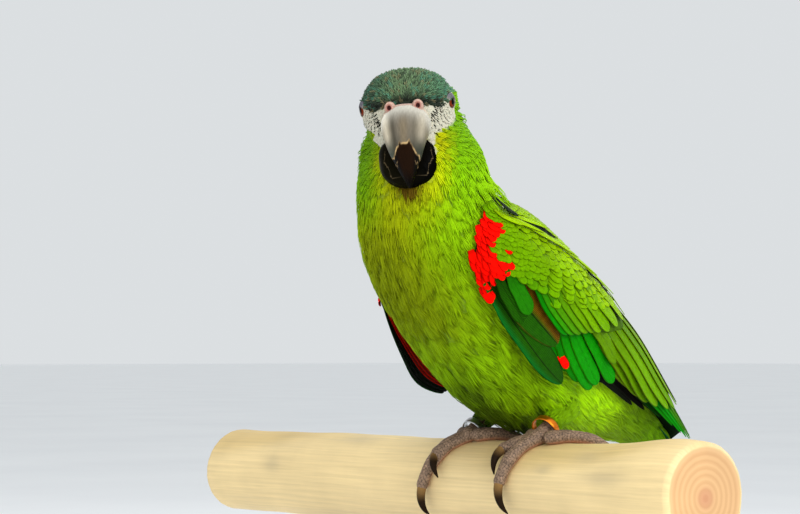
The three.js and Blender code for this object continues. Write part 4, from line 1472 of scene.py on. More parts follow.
def add_row(vanes, row, sign):
    """One row of long feathers, from the one nearest the belly to the one nearest the back."""
    count, shell = row["count"], row.get("shell")
    u = np.linspace(0, 1, count)
    root, tip = ([between(values, u * (len(values) - 1)) for values in row[end]] for end in ("root", "tip"))
    low, high = (np.interp(u, np.linspace(0, 1, len(values)), values)[:, None] for values in row["lift"])
    tint = between(np.array(row["tints"]), u * (len(row["tints"]) - 1))

    def lift(station, angle, t):
        base = shell_top(shell, station, angle) if shell else 0
        return base + low + (high - low) * t + 0.35 * u[:, None]

    frames = along_body(root, tip, lift, sign, row["steps"], bow=0.25)
    tint = tint * chance.normal(1, 0.05, (count, 1))
    wide = chance.uniform(0.95, 1.05, count)
    vanes.add(*frames, [w * wide for w in row["wide"]], tint=tint, rim=row["rim"], marks=row["marks"],
              kind=row["kind"], columns=8)


def add_scales(vanes, sign, tip, length, half, rise, rim_share):
    """Small round coverts that end at the given stations and angles."""
    station, angle = tip
    count = len(station)
    drift = chance.normal(0.4, 0.8, count) + 1.8 * ramp(angle, 85, 115)
    root = (station - length / 31, angle - drift)
    red = is_red(station - 0.03, angle)
    tint = covert_tone(station, angle) * chance.normal(1, 0.055, (count, 1))
    tint = np.where(red[:, None], RED * chance.uniform(0.9, 1.0, (count, 1)), tint)
    rim_mark = np.where(red, 0.0, rim_share * np.where(chance.random(count) < 0.6, 1.0, 0.45))
    marks = np.stack([np.zeros(count), rim_mark, np.full(count, 0.12)], axis=1)

    def lift(s, a, t):
        over = np.minimum(shell_top("arm", s, a), 8.0) - 1.0 - rise + rise * t - 0.9 * ramp(a, 62, 34)
        inside = ramp(np.interp(s, *WING_FRONT) - a, -1, 11) * (s < 3.5) + (s >= 3.5)
        return over * inside + (0.2 + 0.5 * t) * (1 - inside)

    frames = along_body(root, (station, angle), lift, sign, 7)
    vanes.add(*frames, (half, half), tint=tint, rim=RIM_DARK, marks=marks, kind="scale", tilt=0.10,
              thick=0.16)


def staggered(rows, pitch, first, last):
    """Places row by row, with every other row moved along by half a step."""
    row, place = [], []
    for k in range(rows):
        here = np.arange(first + (k % 2) * pitch / 2, last, pitch)
        row.append(np.full(len(here), float(k)))
        place.append(here)
    return np.concatenate(row), np.concatenate(place)


def add_lesser_coverts(vanes, sign):
    """The shoulder's smallest feathers, red along the wing's bend."""
    row, angle = staggered(24, 4.1, 74, 123)
    station = 2.44 + row * 0.078 + chance.normal(0, 0.014, len(angle))
    angle = angle + chance.normal(0, 0.5, len(angle))
    lower = np.where(station < 3.5, np.interp(station, *WING_FRONT), np.interp(station, *WING_LOWER))
    red_tip = (station > 3.5) & (station < 3.62) & (angle > 116) & (angle < 121.5)
    red_tip &= is_red(station - 0.03, angle)
    keep = ((angle < lower) | red_tip) & (station < 4.12 - 0.01 * (angle - 78))
    keep &= (angle > np.interp(station, *GAP_LINE) + 3) & ((angle > 78) | (station < 2.9))
    station, angle = station[keep], angle[keep]
    length = 6.4 + 1.4 * ramp(station, 3.0, 4.2)
    half = np.full(len(station), 1.95) + 0.2 * ramp(station, 3.0, 4.2)
    add_scales(vanes, sign, (station, angle), length, half, 0.7, 0.55)


def add_round_coverts(vanes, sign):
    """Larger round coverts below and behind them, parted by a dark gap from the shoulder feathers."""
    row, angle = staggered(17, 5.6, 17, 101.5)
    end = np.interp(-angle, -np.array(ROUND_TIPS[1]), ROUND_TIPS[0])
    station = end - 0.165 * row + chance.normal(0, 0.02, len(row))
    angle = angle + chance.normal(0, 0.6, len(row))
    gap = angle - np.interp(station, *GAP_LINE)
    behind_small = np.where(angle > 78, station > 4.0 - 0.01 * (angle - 78), station > 2.62)
    keep = (np.abs(gap - 0.5) > 4.2) & behind_small & (angle < np.interp(station, *WING_LOWER))
    keep &= station > np.interp(angle, [17, 40, 78], [3.5, 2.9, 2.62])
    station, angle, row = station[keep], angle[keep], row[keep]
    add_scales(vanes, sign, (station, angle), 10.5 - 0.22 * row, 2.75 - 0.035 * row, 1.2, 0.85)


# Narrow shoulder feathers that lie across the dark gap, by root and tip.
SCAPULARS = [
    ((2.42, 85), (3.10, 74)), ((2.62, 79), (3.62, 64)), ((2.75, 72), (3.70, 57)), ((3.20, 70), (4.20, 60)),
    ((3.55, 65), (4.60, 55)), ((4.10, 60), (5.10, 53)), ((4.50, 57), (5.55, 52)),
]


def add_scapulars(vanes, sign):
    """Narrow yellow-green feathers over the dark gap."""
    root, tip = np.array(SCAPULARS).transpose(1, 2, 0)
    frames = along_body(root, tip, lambda s, a, t: shell_top("arm", s, a) - 0.7 + 0.9 * t, sign, 16, bow=0.2)
    tint = LIME * chance.normal(1.3, 0.06, (len(SCAPULARS), 1))
    vanes.add(*frames, (1.5, 1.5), tint=tint, rim=RIM_BROWN, marks=(0.2, 0.5, 0.15), kind="point", tilt=0.1)


def add_shade_feather(vanes, sign):
    """A feather painted near-black as painted shade, which closes the wing's first gap beside the neck."""
    frames = along_body((2.2, 80), (2.95, 66), lambda s, a, t: 2.6 + 1.2 * t, sign, 10)
    vanes.add(*frames, (1.5, 1.5), tint=FOREST * 0.12, rim=RIM_DARK * 0.3, marks=(0.0, 0.5, 0.2),
              kind="round")


def outer_swing(name, station):
    """How far the wing's outer feathers swing off the belly."""
    return between(OUTER_SWING[name], (station - 3.4) * 2)


def add_outer_feathers(vanes, name):
    """The feathers at the wrist. The far wing's under ones are painted dark as painted shade, and the
    innermost are red.
    """
    for share in OUTER_LAYERS[name]:
        innermost, outermost = share < 0.6, share == 1.0
        # Painted shade: the far wing's under layers are nearly black, and the undersides of all but the red
        # ones dark.
        painted_shading = 1.0 if outermost else 0.06
        under = 0.9 if innermost else {"left": 0.1, "right": 0.02}[name]
        for feather in OUTER_FEATHERS if outermost else OUTER_FEATHERS[:2]:
            low, high = feather["lift"]

            def lift(station, angle, t):
                swing = outer_swing(name, station) * ramp(angle, 100, 124)
                return low + (high - low) * t + swing * share

            bow = feather.get("bow", 0.2) * 0.4
            frames = along_body(feather["root"], feather["tip"], lift, SIDES[name], 24, bow=bow)
            tones = {k: feather[k] * painted_shading for k in ("tint", "rim", "blue", "dusk") if k in feather}
            if innermost:
                tones["tint"] = tones["rim"] = RED
            vanes.add(*frames, feather["wide"], **tones, marks=feather["marks"], kind=feather["kind"],
                      columns=12, under=under, tilt=0.2)


def add_underwing(vanes, name):
    """Red coverts under the wing, which show between the outer feathers and the belly."""
    u = np.linspace(0, 1, 5)
    root, tip = ([between(v, u * 2) for v in UNDERWING[end]] for end in ("root", "tip"))
    frames = along_body(root, tip, lambda s, a, t: 0.5 + 0.6 * t, SIDES[name], 10)
    plain = {"marks": (0.0, 0.0, 0.1), "tint": RED * 0.95, "rim": RED * 0.95}
    shaded = {"marks": (0.0, 0.0, 0.1), "tint": RED * 0.8, "rim": RED * 0.8}
    vanes.add(*frames, (2.4, 2.4), under=0.9, kind="scale", **plain)
    if name == "left":
        frames = along_body((4.9, 110), (5.25, 113.6), lambda s, a, t: 1.6 + 3.0 * t, 1, 10)
        vanes.add(*frames, (2.4 * 0.8, 2.4 * 0.8), kind="round", **plain)
        return
    u = np.linspace(0, 1, 9)
    root, tip = (3.7 + 0.6 * u, 124 - 2 * u), (4.25 + 0.75 * u, 127 - 4 * u)
    frames = along_body(root, tip, lambda s, a, t: outer_swing(name, s) * 0.2 * t, SIDES[name], 8)
    vanes.add(*frames, (2.2, 2.2), under=0.9, kind="scale", **shaded)


def make_wing_core(name):
    """The wing's inside, where it shows below the flight feathers: painted shade, near-black and dark green
    behind.
    """
    core = joined([shell_form("arm", SIDES[name], 2.6), shell_form("inner", SIDES[name], 3.6)])
    station, angle = body_place(core[0])
    behind = window(station, 5.0, 5.4, 6.2, 6.6) * ramp(np.abs(angle), 92, 84)
    fields = {"tint": blend(FOREST * 0.08, GRASS * 0.4, behind), "vane": core[0] * 0.05}
    nodes = ["wing_" + name + "_" + part for part in ("arm", "outer", "inner")]
    look = plumage_material("wing_core_" + name, 0.8, 0.0)
    make_piece("wing_" + name + "_core", core, look, fields=fields, stands_for=nodes)


def make_wings():
    """Each wing's core, flight feathers and coverts."""
    look = vane_material("wing_vanes")
    for name, sign in SIDES.items():
        make_wing_core(name)
        flight = Vanes("wing_" + name + "_flight", "plumage_wing", look)
        add_underwing(flight, name)
        add_outer_feathers(flight, name)
        for row in ("primaries", "tertials", "secondaries"):
            add_row(flight, WING_ROWS[row], sign)
        flight.make()
        coverts = Vanes("wing_" + name + "_coverts", "plumage_wing", look)
        add_row(coverts, WING_ROWS["greater_coverts"], sign)
        for add in (add_round_coverts, add_lesser_coverts, add_scapulars, add_shade_feather):
            add(coverts, sign)
        coverts.make()


def make_tail():
    """Twelve graduated feathers, closed one under the next."""
    droop = math.radians(TAIL_DROOP)
    run = np.array([0, math.cos(droop), -math.sin(droop)])
    over = np.array([0, math.sin(droop), math.cos(droop)])
    base = body_frame(7.9)[0]
    vanes = Vanes("tail_feathers", "plumage_tail", vane_material("tail_vanes"))
    t = np.sin(np.linspace(0, np.pi / 2, 27))
    for pair in range(5, -1, -1):
        for sign in (1, -1):
            length = TAIL_LENGTH - 2 - 13.0 * pair
            across = sign * (0.6 + 1.3 * pair + (1.2 + 0.9 * pair) * np.sin(np.minimum(t * 2.2, np.pi / 2)))
            height = 7.2 - 0.24 * pair - 2.0 * t - 0.03 * across**2
            spine = base + run * (length * t)[:, None] + over * height[:, None] + LEFTWARD * across[:, None]
            side, up = (np.broadcast_to(way, spine.shape) for way in (LEFTWARD * sign, over))
            vanes.add(spine[None], side[None], up[None], (4.2, 5.0), tint=LEAF * 0.8, rim=RIM_DARK,
                      marks=(1.0, 0.4, 0.4), kind="leaf", columns=8, tilt=-0.3, under=0.5, blue=TEAL * 0.8,
                      curve=60.0)
    vanes.make(stands_for=("tail",))


make_wings()
make_tail()

# ---- Bill, cere and eyes ----


def upper_bill_surface(place, angle, lift=0.0):
    """A point of the bill's upper half. Angle 0 is its ridge and 90 its left side."""
    def axis(p):
        p = np.clip(p, 0, 5)
        return np.stack([between(UPPER_BILL["forward"], p), between(UPPER_BILL["up"], p)], axis=-1)
    here, run = axis(place), unit(axis(place + 0.1) - axis(place - 0.1))
    turn = np.radians(angle)
    out = np.cos(turn) * (between(UPPER_BILL["deep"], place) + lift)
    side = np.sign(np.sin(turn)) * np.abs(np.sin(turn)) ** 0.8 * (between(UPPER_BILL["wide"], place) + lift)
    return head_point(here[..., 0] - run[..., 1] * out, side, here[..., 1] + run[..., 0] * out)


def jagged(x, size):
    """A worn, uneven line: a few sines of unrelated lengths."""
    return size * sum(np.sin(x * s + 2.1 * s) / (k + 1) for k, s in enumerate((1.3, 2.9, 5.7)))


# Where the bill's outer horn has broken off: places along it for degrees from its ridge.
BROKEN_EDGE = ([0, 7, 11, 15, 24, 36, 50, 75, 95, 130],
               [2.88, 2.87, 2.78, 2.93, 3.08, 3.28, 3.42, 3.5, 3.42, 2.95])


def make_upper_bill():
    """Grey outer horn with painted highlights down its sides, broken off along a pale flaking edge above the
    dark hook.
    """
    place, angle = grid(np.linspace(0.7, 5, 190), circle(168, -180, 180))
    away = np.abs(angle)
    edge = np.interp(away, *BROKEN_EDGE) + jagged(angle / 9, 0.022) + 0.2 * ramp(angle, 50, 80)
    outer = ramp(edge - place, -0.015, 0.03)
    groove = 0.10 * bell(away, 26, 9) * ramp(place, 1.0, 1.6) * outer
    ridge = 0.16 * bell(angle, 0, 8) * ramp(place, 1.2, 2.0)
    points = upper_bill_surface(place, angle, 0.24 * outer - 0.22 - groove + ridge)

    horn = blend(colour(188, 184, 172), colour(120, 112, 96), ramp(place, 1.1, 2.3))
    # Painted highlights: a broad pale band down each side, and the dark stripes beside the ridge fainter on
    # the bird's left, where the highlight falls.
    horn = layered(
        horn,
        ((54, 57, 48), ramp(place, 2.3, 3.3)),
        ((62, 58, 48), bell(away, 24, 9) * ramp(place, 1.3, 2.2) * np.where(angle > 0, 0.45, 0.8)),
        ((196, 186, 164), bell(away, 52, 15) * ramp(place, 3.0, 2.4) * ramp(place, 1.0, 1.8) * 0.4),
        ((84, 78, 72), bell(angle, 0, 17) * ramp(place, 1.3, 2.1) * 0.6),
    )
    # Painted light on the bird's right side of the horn.
    horn = horn * (1 + 0.75 * ramp(angle, -28, -52))[..., None]
    horn = layered(horn, ((122, 108, 84), bell(angle, 0, 8) * ramp(place, 1.6, 2.2) * 0.6))
    hook = blend(colour(25, 10, 1), colour(4, 2, 1), np.maximum(ramp(away, 16, 44), ramp(place, 3.9, 4.7)))
    flake = bell(place, edge, 0.032) * (0.25 + 0.75 * np.sin(angle * 0.11 + 1.3) ** 2)
    second = bell(place - edge - 0.36, jagged(angle / 5, 0.05), 0.022) * ramp(away, 30, 42)
    tone = layered(blend(hook, horn, outer), ((206, 172, 120), np.clip(flake + 0.5 * second, 0, 0.85)))
    vane = np.stack([np.sin(np.radians(angle / 2)), place, 0 * place], axis=-1)
    make_piece("bill_upper_horn", loft(points), horn_material("bill_horn", 0.34, 0.14, 0.04),
               fields={"tint": with_ends(tone), "vane": with_ends(vane)}, stands_for=("bill_upper",))


def make_lower_bill():
    """The dark lower half, with a worn rim and a pale crack along its side."""
    place, angle = grid(np.linspace(0.4, 4, 90), circle(132, -180, 180))
    turn, away = np.radians(angle), np.abs(angle)
    top, bottom = between(LOWER_BILL["top"], place), between(LOWER_BILL["bottom"], place)
    across_crack = away - 62 - 30 * (place - 3)
    crack = 0.12 * bell(across_crack, 0, 4)
    wide, half = between(LOWER_BILL["wide"], place) - crack, (top - bottom) / 2 - crack
    squared = np.where(np.cos(turn) > 0, 0.55, 1.0)
    across, upright = (np.sign(v) * np.abs(v) ** squared for v in (np.sin(turn), np.cos(turn)))
    forward, middle = between(LOWER_BILL["forward"], place), (top + bottom) / 2
    points = head_point(forward, across * wide, middle + upright * half)
    rim = bell(place - 2.2, jagged(angle / 14, 0.03), 0.07) * ramp(away, 70, 100)
    line = bell(across_crack, jagged(place * 6, 5), 1.3) * ramp(place, 2.4, 2.8)
    tone = layered(colour(15, 13, 4), ((2, 2, 1), ramp(angle, -30, 60)),
                   ((168, 146, 108), np.clip(rim * 0.5 + line * 0.4, 0, 0.7)))
    vane = np.stack([np.sin(turn / 2), place, 0 * place], axis=-1)
    make_piece("bill_lower_horn", loft(points), horn_material("bill_dark", 0.30, 0.3, 0.015),
               fields={"tint": with_ends(tone), "vane": with_ends(vane)}, stands_for=("bill_lower",))


# The nostrils' place in the head's frame, and their ring from the hole to the skin by radius and height.
NOSTRIL = {"forward": 21.3, "left": 6.0, "up": 1.3}
NOSTRIL_PROFILE = [(0.01, -0.9), (0.62, -0.82), (0.78, -0.25), (0.95, 0.02), (1.25, 0.06), (1.7, -0.1),
                   (2.05, -0.6), (2.3, -2.8), (0.01, -3.0)]


def nostril(sign):
    """The raised ring round one nostril: its form and its tints."""
    middle = head_point(NOSTRIL["forward"], sign * NOSTRIL["left"], NOSTRIL["up"])
    profile = between(NOSTRIL_PROFILE, np.linspace(0, len(NOSTRIL_PROFILE) - 1, 41))
    ring = lathe(profile, middle, unit(head_vector(1.0, sign * 0.10, 0.14)), 48)
    upright = head_vector(0, 0, 1)
    ring = ring + upright * (0.2 * dot(ring - middle, upright))[..., None]
    # Painted shade: the hole is painted dark red-brown for its depth.
    dark = ramp(profile[:, 0], 1.0, 0.7) * ramp(np.arange(len(profile)), 24, 20)
    tone = layered(colour(166, 106, 94), ((192, 156, 140), ramp(profile[:, 0], 0.9, 1.8)),
                   ((64, 12, 8), dark))
    return loft(ring), with_ends(np.broadcast_to(tone[:, None], ring.shape))


def make_cere():
    """The soft strip over the bill's base, with a raised ring round each nostril."""
    angle, around = grid(np.linspace(-82, 82, 90), circle(28, 0, 360))
    swell = 1.05 * np.sqrt(np.clip(1 - (np.abs(angle) / 84) ** 4, 0.02, 1))
    centre = upper_bill_surface(np.full_like(angle, 0.98), angle, -0.55)
    out = unit(upper_bill_surface(np.full_like(angle, 0.98), angle, 1.0) - centre)
    ahead = head_vector(1, 0, 0)
    turn = np.radians(around)
    points = centre + ahead * (np.cos(turn) * swell * 0.9)[..., None]
    points = points + out * (np.sin(turn) * swell)[..., None]
    tone = blend(colour(186, 156, 142), colour(196, 188, 166), ramp(np.abs(angle), 30, 70))
    forms, tones = zip((loft(points), with_ends(tone)), nostril(1), nostril(-1))
    make_piece("cere", joined(forms), skin_look, fields={"tint": np.concatenate(tones)})


def make_eye(side):
    """The eyeball, flatter at the back, with the cornea's low bulge."""
    theta = np.linspace(0.004, np.pi - 0.01, 72)
    radius = EYE_RADIUS - 0.12 + 0.22 * bell(theta, 0, 0.45)
    profile = np.stack([np.sin(theta) * radius, np.cos(theta) * radius], axis=1)
    rings = lathe(profile, eye_centre(side), eye_axis(side), 64)
    around = circle(64, 0, 1)[None] + 0 * theta[:, None]
    out = np.broadcast_to(profile[:, :1] / 2.7 + (theta[:, None] > 1.5) * 2, around.shape)
    vane = np.stack([np.abs(around - 0.5) * 2, out, 0 * around], axis=-1)
    make_piece("eyeball_" + side, loft(rings), eye_look, fields={"vane": with_ends(vane)},
               stands_for=("eye_" + side,))


def make_lids(side):
    """Soft wrinkled lids round the eye, the upper one drawn a little lower over it."""
    axis = eye_axis(side)
    upward = flat_on(head_vector(0, 0, 1), axis)
    aside = np.cross(upward, axis)
    turn, cut = np.radians(grid(circle(120, 0, 360), circle(20, 0, 360)))
    upper = ramp(np.cos(turn), -0.3, 0.9)
    opening = 2.78 - 1.2 * upper + 0.10 * np.cos(2 * turn + np.pi)
    width = 0.45 + 0.66 * upper
    wrinkle = 1 + 0.06 * np.sin(turn * 34) * np.sin(cut) + 0.04 * np.sin(turn * 21 + 1)
    out_from_axis = opening + width + width * np.cos(cut) * wrinkle
    sphere = np.sqrt(np.clip((EYE_RADIUS + 0.05) ** 2 - np.minimum(out_from_axis, 3.9) ** 2, 0.5, None))
    flare = 0.55 * np.clip(out_from_axis - 2.6, 0, 2)
    height = sphere + flare + 0.34 * np.sin(cut) * wrinkle
    spoke = upward * np.cos(turn)[..., None] + aside * np.sin(turn)[..., None]
    rings = eye_centre(side) + spoke * out_from_axis[..., None] + axis * height[..., None]
    tone = layered(colour(196, 186, 164), ((98, 94, 104), upper),
                   ((30, 22, 22), ramp(np.cos(cut), -0.4, -0.95) * 0.7))
    make_piece("lids_" + side, ring_form(rings), skin_look,
               fields={"tint": tone.reshape(-1, 3)})


# Rows of bristles on each side of the face, each from beside the nostril back to the cheek.
BRISTLE_ROWS = {
    "from": ([16.8, 16.2, 15.4, 14.4, 13.2, 12.0, 10.6, 9.2], [-2.0, -0.8, -0.2, 0.2, 0.6, 1.0, 1.4, 1.8]),
    "to": ([16.4, 14.8, 13.0, 11.0, 9.0, 7.0, 5.0, 3.2], [-11.0, -10.2, -9.2, -8.4, -7.8, -7.2, -6.4, -5.6]),
}
BRISTLES_IN_ROW = 17


def bristle_roots(side):
    """Places beside the face from which each bristle is cast on the skin, and its weight."""
    roots, weights, count = [], [], BRISTLES_IN_ROW
    for row, (start, end) in enumerate(zip(*(np.array(BRISTLE_ROWS[k]).T for k in ("from", "to")))):
        t = (np.arange(count) + chance.uniform(-0.25, 0.25, count)) / (count - 1)
        forward, up = (start + (end - start) * t[:, None]).T
        forward = forward + 0.9 * np.sin(np.pi * t) + chance.normal(0, 0.22, count)
        up = up - 0.5 * np.sin(np.pi * t) + chance.normal(0, 0.15, count)
        roots.append(head_point(forward, SIDES[side] * 22.0, up))
        weights.append((1 - 0.35 * t) * (1.75 - 0.18 * row) * chance.uniform(0.45, 1.1, count))
    return np.concatenate(roots), np.concatenate(weights)


def make_bristles(side):
    """Fine dark feathers in lines over the bare face."""
    roots, weights = bristle_roots(side)
    here, normal = skin.cast(roots, head_vector(0, -SIDES[side], 0))
    keep = (face_share(here) > 0.3) & (eye_distance(here) > 4.0)
    here, normal, weights = here[keep], normal[keep], weights[keep]
    count = len(here)
    flow = flat_on(lie(here, normal) + head_vector(0, 0, -0.5), normal)
    along = flow[:, None] * (1.25 * weights[:, None] * ALONG_LOCK)[..., None]
    spine = here[:, None] + along + normal[:, None] * np.array([0.1, 0.26, 0.34, 0.3])[None, :, None]
    side_way, up = (np.broadcast_to(v[:, None], spine.shape) for v in (np.cross(normal, flow), normal))
    half = 0.15 * weights[:, None] * np.array([0.8, 1.0, 0.7, 0.2])
    points = lock_points(spine, side_way, up, half, thick=1.0)
    shape = (count, LOCK_SIZE, 3)
    tone = np.broadcast_to(colour(22, 22, 14), shape) * chance.uniform(0.6, 1.6, (count, 1, 1))
    vane = np.broadcast_to(np.linspace(0, 1, LOCK_SIZE)[None, :, None], shape)
    patch = head_baking_place(here)[:, None] + PATCH * np.linspace(-1, 1, LOCK_SIZE)[None, :, None]
    form = (points.reshape(-1, 3), lock_faces(count))
    make_piece("face_bristles_" + side, form, bristle_look, patch=patch.reshape(-1, 2),
               fields={"tint": tone.reshape(-1, 3), "vane": vane.reshape(-1, 3)})


eye_look = eye_material()
bristle_look = plumage_material("bristles", 0.5, 0.0)
make_upper_bill()
make_lower_bill()
make_cere()
for side in SIDES:
    make_eye(side)
    make_lids(side)
    make_bristles(side)

# ---- Feet and leg bands ----


def toe_line(side, toe):
    """A toe from the ankle round the branch to the base of its claw."""
    reach, end, _, _ = TOES[side][toe]
    t = np.array([0.05, 0.3, 0.6, 0.82, 1])
    along = ANKLES[side] + reach * t ** (0.4 if end < 0 else 0.8)
    out = TOE_RADIUS + 0.1 - 0.25 * np.sin(np.pi * t)
    return perch_point(along, ANKLE_ROUND + (end - ANKLE_ROUND) * t, out)


def toe_form(side, toe):
    """A toe with soft joints and a pad before its claw."""
    radii = between([1.1, 1.05, 1.0, 0.95, 0.88], np.linspace(0, 4, 25)) * TOE_RADIUS
    t = np.linspace(0, 1, 25)
    radii = radii * (1 + 0.05 * np.cos(t * 4 * np.pi) * ramp(t, 0.1, 0.3)) - 0.12
    return loft(tube(toe_line(side, toe), radii, sides=28, steps=48))


# How far apart the feet's scales are, and how many points are tried for them.
SCALE_GAP = 0.95
SCALE_TRIES = 9000


def foot_form(side):
    """Ankle, shank and toes as one smooth skin: its points, faces and normals."""
    ball = [(3.5 * math.sin(a), 3.5 * math.cos(a)) for a in np.linspace(0.05, 3.09, 20)]
    shank = [heel(side), heel(side) * 0.45 + ankle(side) * 0.55, ankle(side)]
    forms = [loft(lathe(ball, ankle(side), (0, 0, 1), 30))]
    forms.append(loft(tube(shank, [3.0, 2.7, 3.1], sides=28, steps=24)))
    forms += [toe_form(side, toe) for toe in TOES[side]]
    points, quads = remeshed(joined(forms), voxel=0.42, smoothing=4)
    return points, quads, normals_of(points, quads)


def make_foot(side):
    """A foot and shank covered in small raised scales."""
    points, quads, normals = foot_form(side)
    order = chance.permutation(len(points))[:SCALE_TRIES]
    centres = order[thinned(points[order], np.full(len(order), SCALE_GAP))]
    scales = tree_of(points[centres])
    near = [scales.find_n(p, 2) for p in points.tolist()]
    gap = np.array([second[2] - first[2] for first, second in near])
    which = np.array([first[1] for first, _ in near])
    raised = ramp(gap, 0.02, 0.35)
    tone = blend(colour(58, 42, 30), colour(136, 110, 88), raised)
    tone = tone * chance.normal(1, 0.12, len(centres))[which][:, None]
    axis_height = points[:, 2] - (PERCH_TOP - PERCH_RADIUS)
    radial = np.hypot(dot(points - bird_point(0, 0, -PERCH_RADIUS), PERCH_FRONT), axis_height)
    sole = ramp(radial, PERCH_RADIUS + 2.0, PERCH_RADIUS + 0.6)
    tone = layered(tone, ((176, 122, 92), sole * 0.8))
    points = points + normals * (0.20 * raised - 0.10)[:, None]
    make_piece("foot_" + side + "_skin", (points, [quads]), foot_look, fields={"tint": tone},
               stands_for=("foot_" + side, "shank_" + side))


def make_claws(side):
    """Four curved claws, brown at the base and darker to their points."""
    sides, forms, tones, vanes = 28, [], [], []
    for reach, end, hook, bend in TOES[side].values():
        t = np.linspace(0, 1, 6)
        out = TOE_RADIUS + 0.35 + 2.4 * np.sin(t * 2.4) - 1.3 * t
        line = perch_point(ANKLES[side] + reach + bend * t, end + np.sign(end) * (2 + hook * t), out)
        rings = tube(line, [2.0, 1.95, 1.75, 1.4, 0.95, 0.3], sides=sides, steps=40)
        t = np.linspace(0, 1, len(rings))[:, None] * np.ones((1, sides))
        stripe = np.abs(np.sin(circle(sides)))[None] * np.ones_like(t)
        forms.append(loft(rings))
        tones.append(with_ends(blend(colour(136, 104, 62), colour(34, 24, 16), ramp(t, 0.02, 0.5))))
        vanes.append(with_ends(np.stack([stripe, t * 4, 0 * t], axis=-1)))
    make_piece("claws_" + side, joined(forms), claw_look,
               fields={"tint": np.concatenate(tones), "vane": np.concatenate(vanes)},
               stands_for=["claw_" + side + "_" + toe for toe in TOES[side]])


def make_band(side):
    """A leg band with rounded edges."""
    band = BANDS[side]
    up = unit(heel(side) - ankle(side))
    outer, inner, half, soft = band["radius"], band["radius"] - band["thick"], band["width"] / 2, 0.22
    corners = [(inner + soft, -half), (outer - soft, -half), (outer, -half + soft), (outer, half - soft),
               (outer - soft, half), (inner + soft, half), (inner, half - soft), (inner, -half + soft)]
    rings = lathe(corners, ankle(side) + up * band["height"], up, 96)
    look = metal_material(band["slot"] + "_metal", band["tone"], 0.24)
    piece = make_piece("band_" + side + "_ring", ring_form(rings), look,
                       stands_for=("band_" + side,))
    bevel = piece.modifiers.new("edges", "SUBSURF")
    bevel.levels = bevel.render_levels = 1


foot_look = scale_material()
claw_look = horn_material("claw_horn", 0.25, 0.2, 0.015)
for side in SIDES:
    make_foot(side)
    make_claws(side)
    make_band(side)

# ---- Branch and stand ----

# Scars on the branch: where along it, degrees round it, how long and how wide.
SCARS = [(62, 40, 9, 4), (78, 70, 14, 3), (40, 62, 5, 2.5), (-96, 20, 12, 5), (-150, 75, 7, 4)]


def make_branch():
    """Peeled wood with a lumpy surface, a swollen end, grey scars and sawn ends."""
    rows, sides = 260, 120
    along, angle = grid(np.linspace(-PERCH_RIGHT, PERCH_LEFT, rows), circle(sides, 0, 360))
    turn = np.radians(angle)
    knob = PERCH_KNOB * bell(along - PERCH_LEFT, -12, 30)
    away = ramp(np.abs(along - 2), 40, 70)
    lumps = 0.35 * away * np.sin(along / 23 + 2 * turn) + 0.12 * np.sin(along / 7 + 3 * turn) * away
    flutes = 0.05 * np.sin(turn * 17 + along / 60) + 0.04 * np.sin(turn * 31 - along / 40)
    end = np.minimum(along + PERCH_RIGHT, PERCH_LEFT - along)
    trim = -1.6 * (1 - np.sqrt(np.clip(1 - (1 - np.clip(end / 1.6, 0, 1)) ** 2, 0, 1)))
    out = knob * (1 + 0.8 * np.maximum(0, np.cos(turn))) + lumps + flutes + trim
    tone = layered(colour(232, 206, 152),
                   ((212, 184, 126), ramp(np.sin(along / 37 + turn) + np.sin(turn * 2 + 1), 0.2, 1.6)))
    for at, round_, long, wide in SCARS:
        offset = (angle - round_ + 180) % 360 - 180
        scar = np.exp(-(((along - at) / long) ** 2) - ((offset * 0.35 / wide) ** 2))
        out = out - 0.25 * scar
        tone = layered(tone, ((176, 160, 128), scar * 0.4))
    points = perch_point(along, angle, out)
    vane = np.stack([np.abs(angle - 180) / 4.5 + 7, along / 10, 0 * along], axis=-1)
    side_form = (points.reshape(-1, 3), [grid_faces(rows, sides)])
    forms, tones, vanes = zip((side_form, tone.reshape(-1, 3), vane.reshape(-1, 3)),
                              *(end_grain(row, points[row], tone[row]) for row in (0, rows - 1)))
    make_piece("branch", joined(forms), wood_material(), stands_for=("perch",),
               fields={"tint": np.concatenate(tones), "vane": np.concatenate(vanes)})


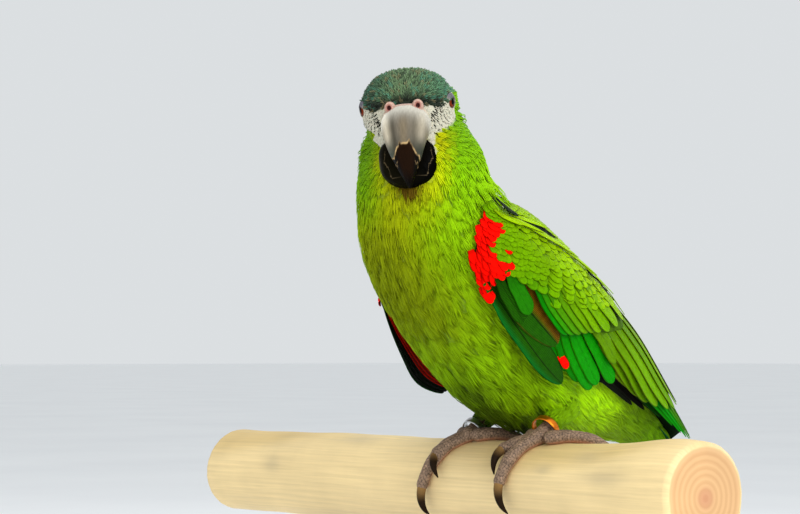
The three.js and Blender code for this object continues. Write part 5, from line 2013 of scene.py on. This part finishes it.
def end_grain(row, rim, rim_tone):
    """A sawn end, rings of growth round a darker heart: its form, tints and places for the grain."""
    steps, sides = 26, len(rim)
    centre = rim.mean(axis=0)
    share = np.linspace(1, 0.02, steps)
    rings = centre + (rim - centre)[None] * share[:, None, None]
    tone = layered(colour(214, 172, 124), ((190, 142, 92), (0.5 + 0.5 * np.sin(share * 46)) * 0.55),
                   ((186, 122, 92), ramp(share, 0.32, 0.05) * 0.6))
    tone = blend(tone, rim_tone.mean(axis=0), ramp(share, 0.94, 1.0))
    tone = np.concatenate([np.repeat(tone, sides, axis=0), tone[-1:]])
    points = np.concatenate([rings.reshape(-1, 3), centre[None]])
    j, inmost = np.arange(sides), (steps - 1) * sides
    fan = np.stack([inmost + j, inmost + (j + 1) % sides, np.full(sides, steps * sides)], 1)
    faces = [grid_faces(steps, sides), fan]
    if row == 0:
        faces = [f[:, ::-1] for f in faces]
    return (points, faces), tone, (points - centre) * 0.05


def make_stand():
    """A round lacquered base and two steel rods in collars."""
    edge, wide, foot, rod = 3.0, STAND_RADIUS, STAND_THICK, ROD_RADIUS
    arc = np.linspace(0, np.pi / 2, 9)
    rim = [(wide - edge + edge * math.cos(a), foot - edge + edge * math.sin(a)) for a in arc]
    profile = [(0.5, 0), (wide - 1.2, 0), (wide, 1.2), *rim, (30, foot), (0.5, foot)]
    plinth = loft(lathe(profile, (0, 0, 0), (0, 0, 1), 160))
    make_piece("stand_plinth", plinth, lacquer_material(), stands_for=("stand_base",))
    steel = metal_material("brushed_steel", (0.56, 0.57, 0.58), 0.24)
    top = PERCH_TOP - 2 * PERCH_RADIUS + 1.0
    lower_collar = [(8.2, foot - 1), (8.2, foot + 2.6), (7.4, foot + 3.6), (rod + 0.3, foot + 4.0)]
    upper_collar = [(rod + 0.4, top - 4.4), (6.6, top - 3.8), (7.4, top - 3.2), (7.4, top)]
    profile = [(0.2, foot - 1), *lower_collar, (rod, foot + 4.6), (rod, top - 5.0), *upper_collar, (0.2, top)]
    for name, sign in SIDES.items():
        x = sign * ROD_SPREAD / 2
        y = (bird_point(0, 0, 0) + PERCH_ALONG * (x - FEET[0]) / PERCH_ALONG[0])[1]
        make_piece("stand_post_" + name, loft(lathe(profile, (x, y, 0), (0, 0, 1), 64)), steel,
                   stands_for=("stand_rod_" + name,))


make_branch()
make_stand()
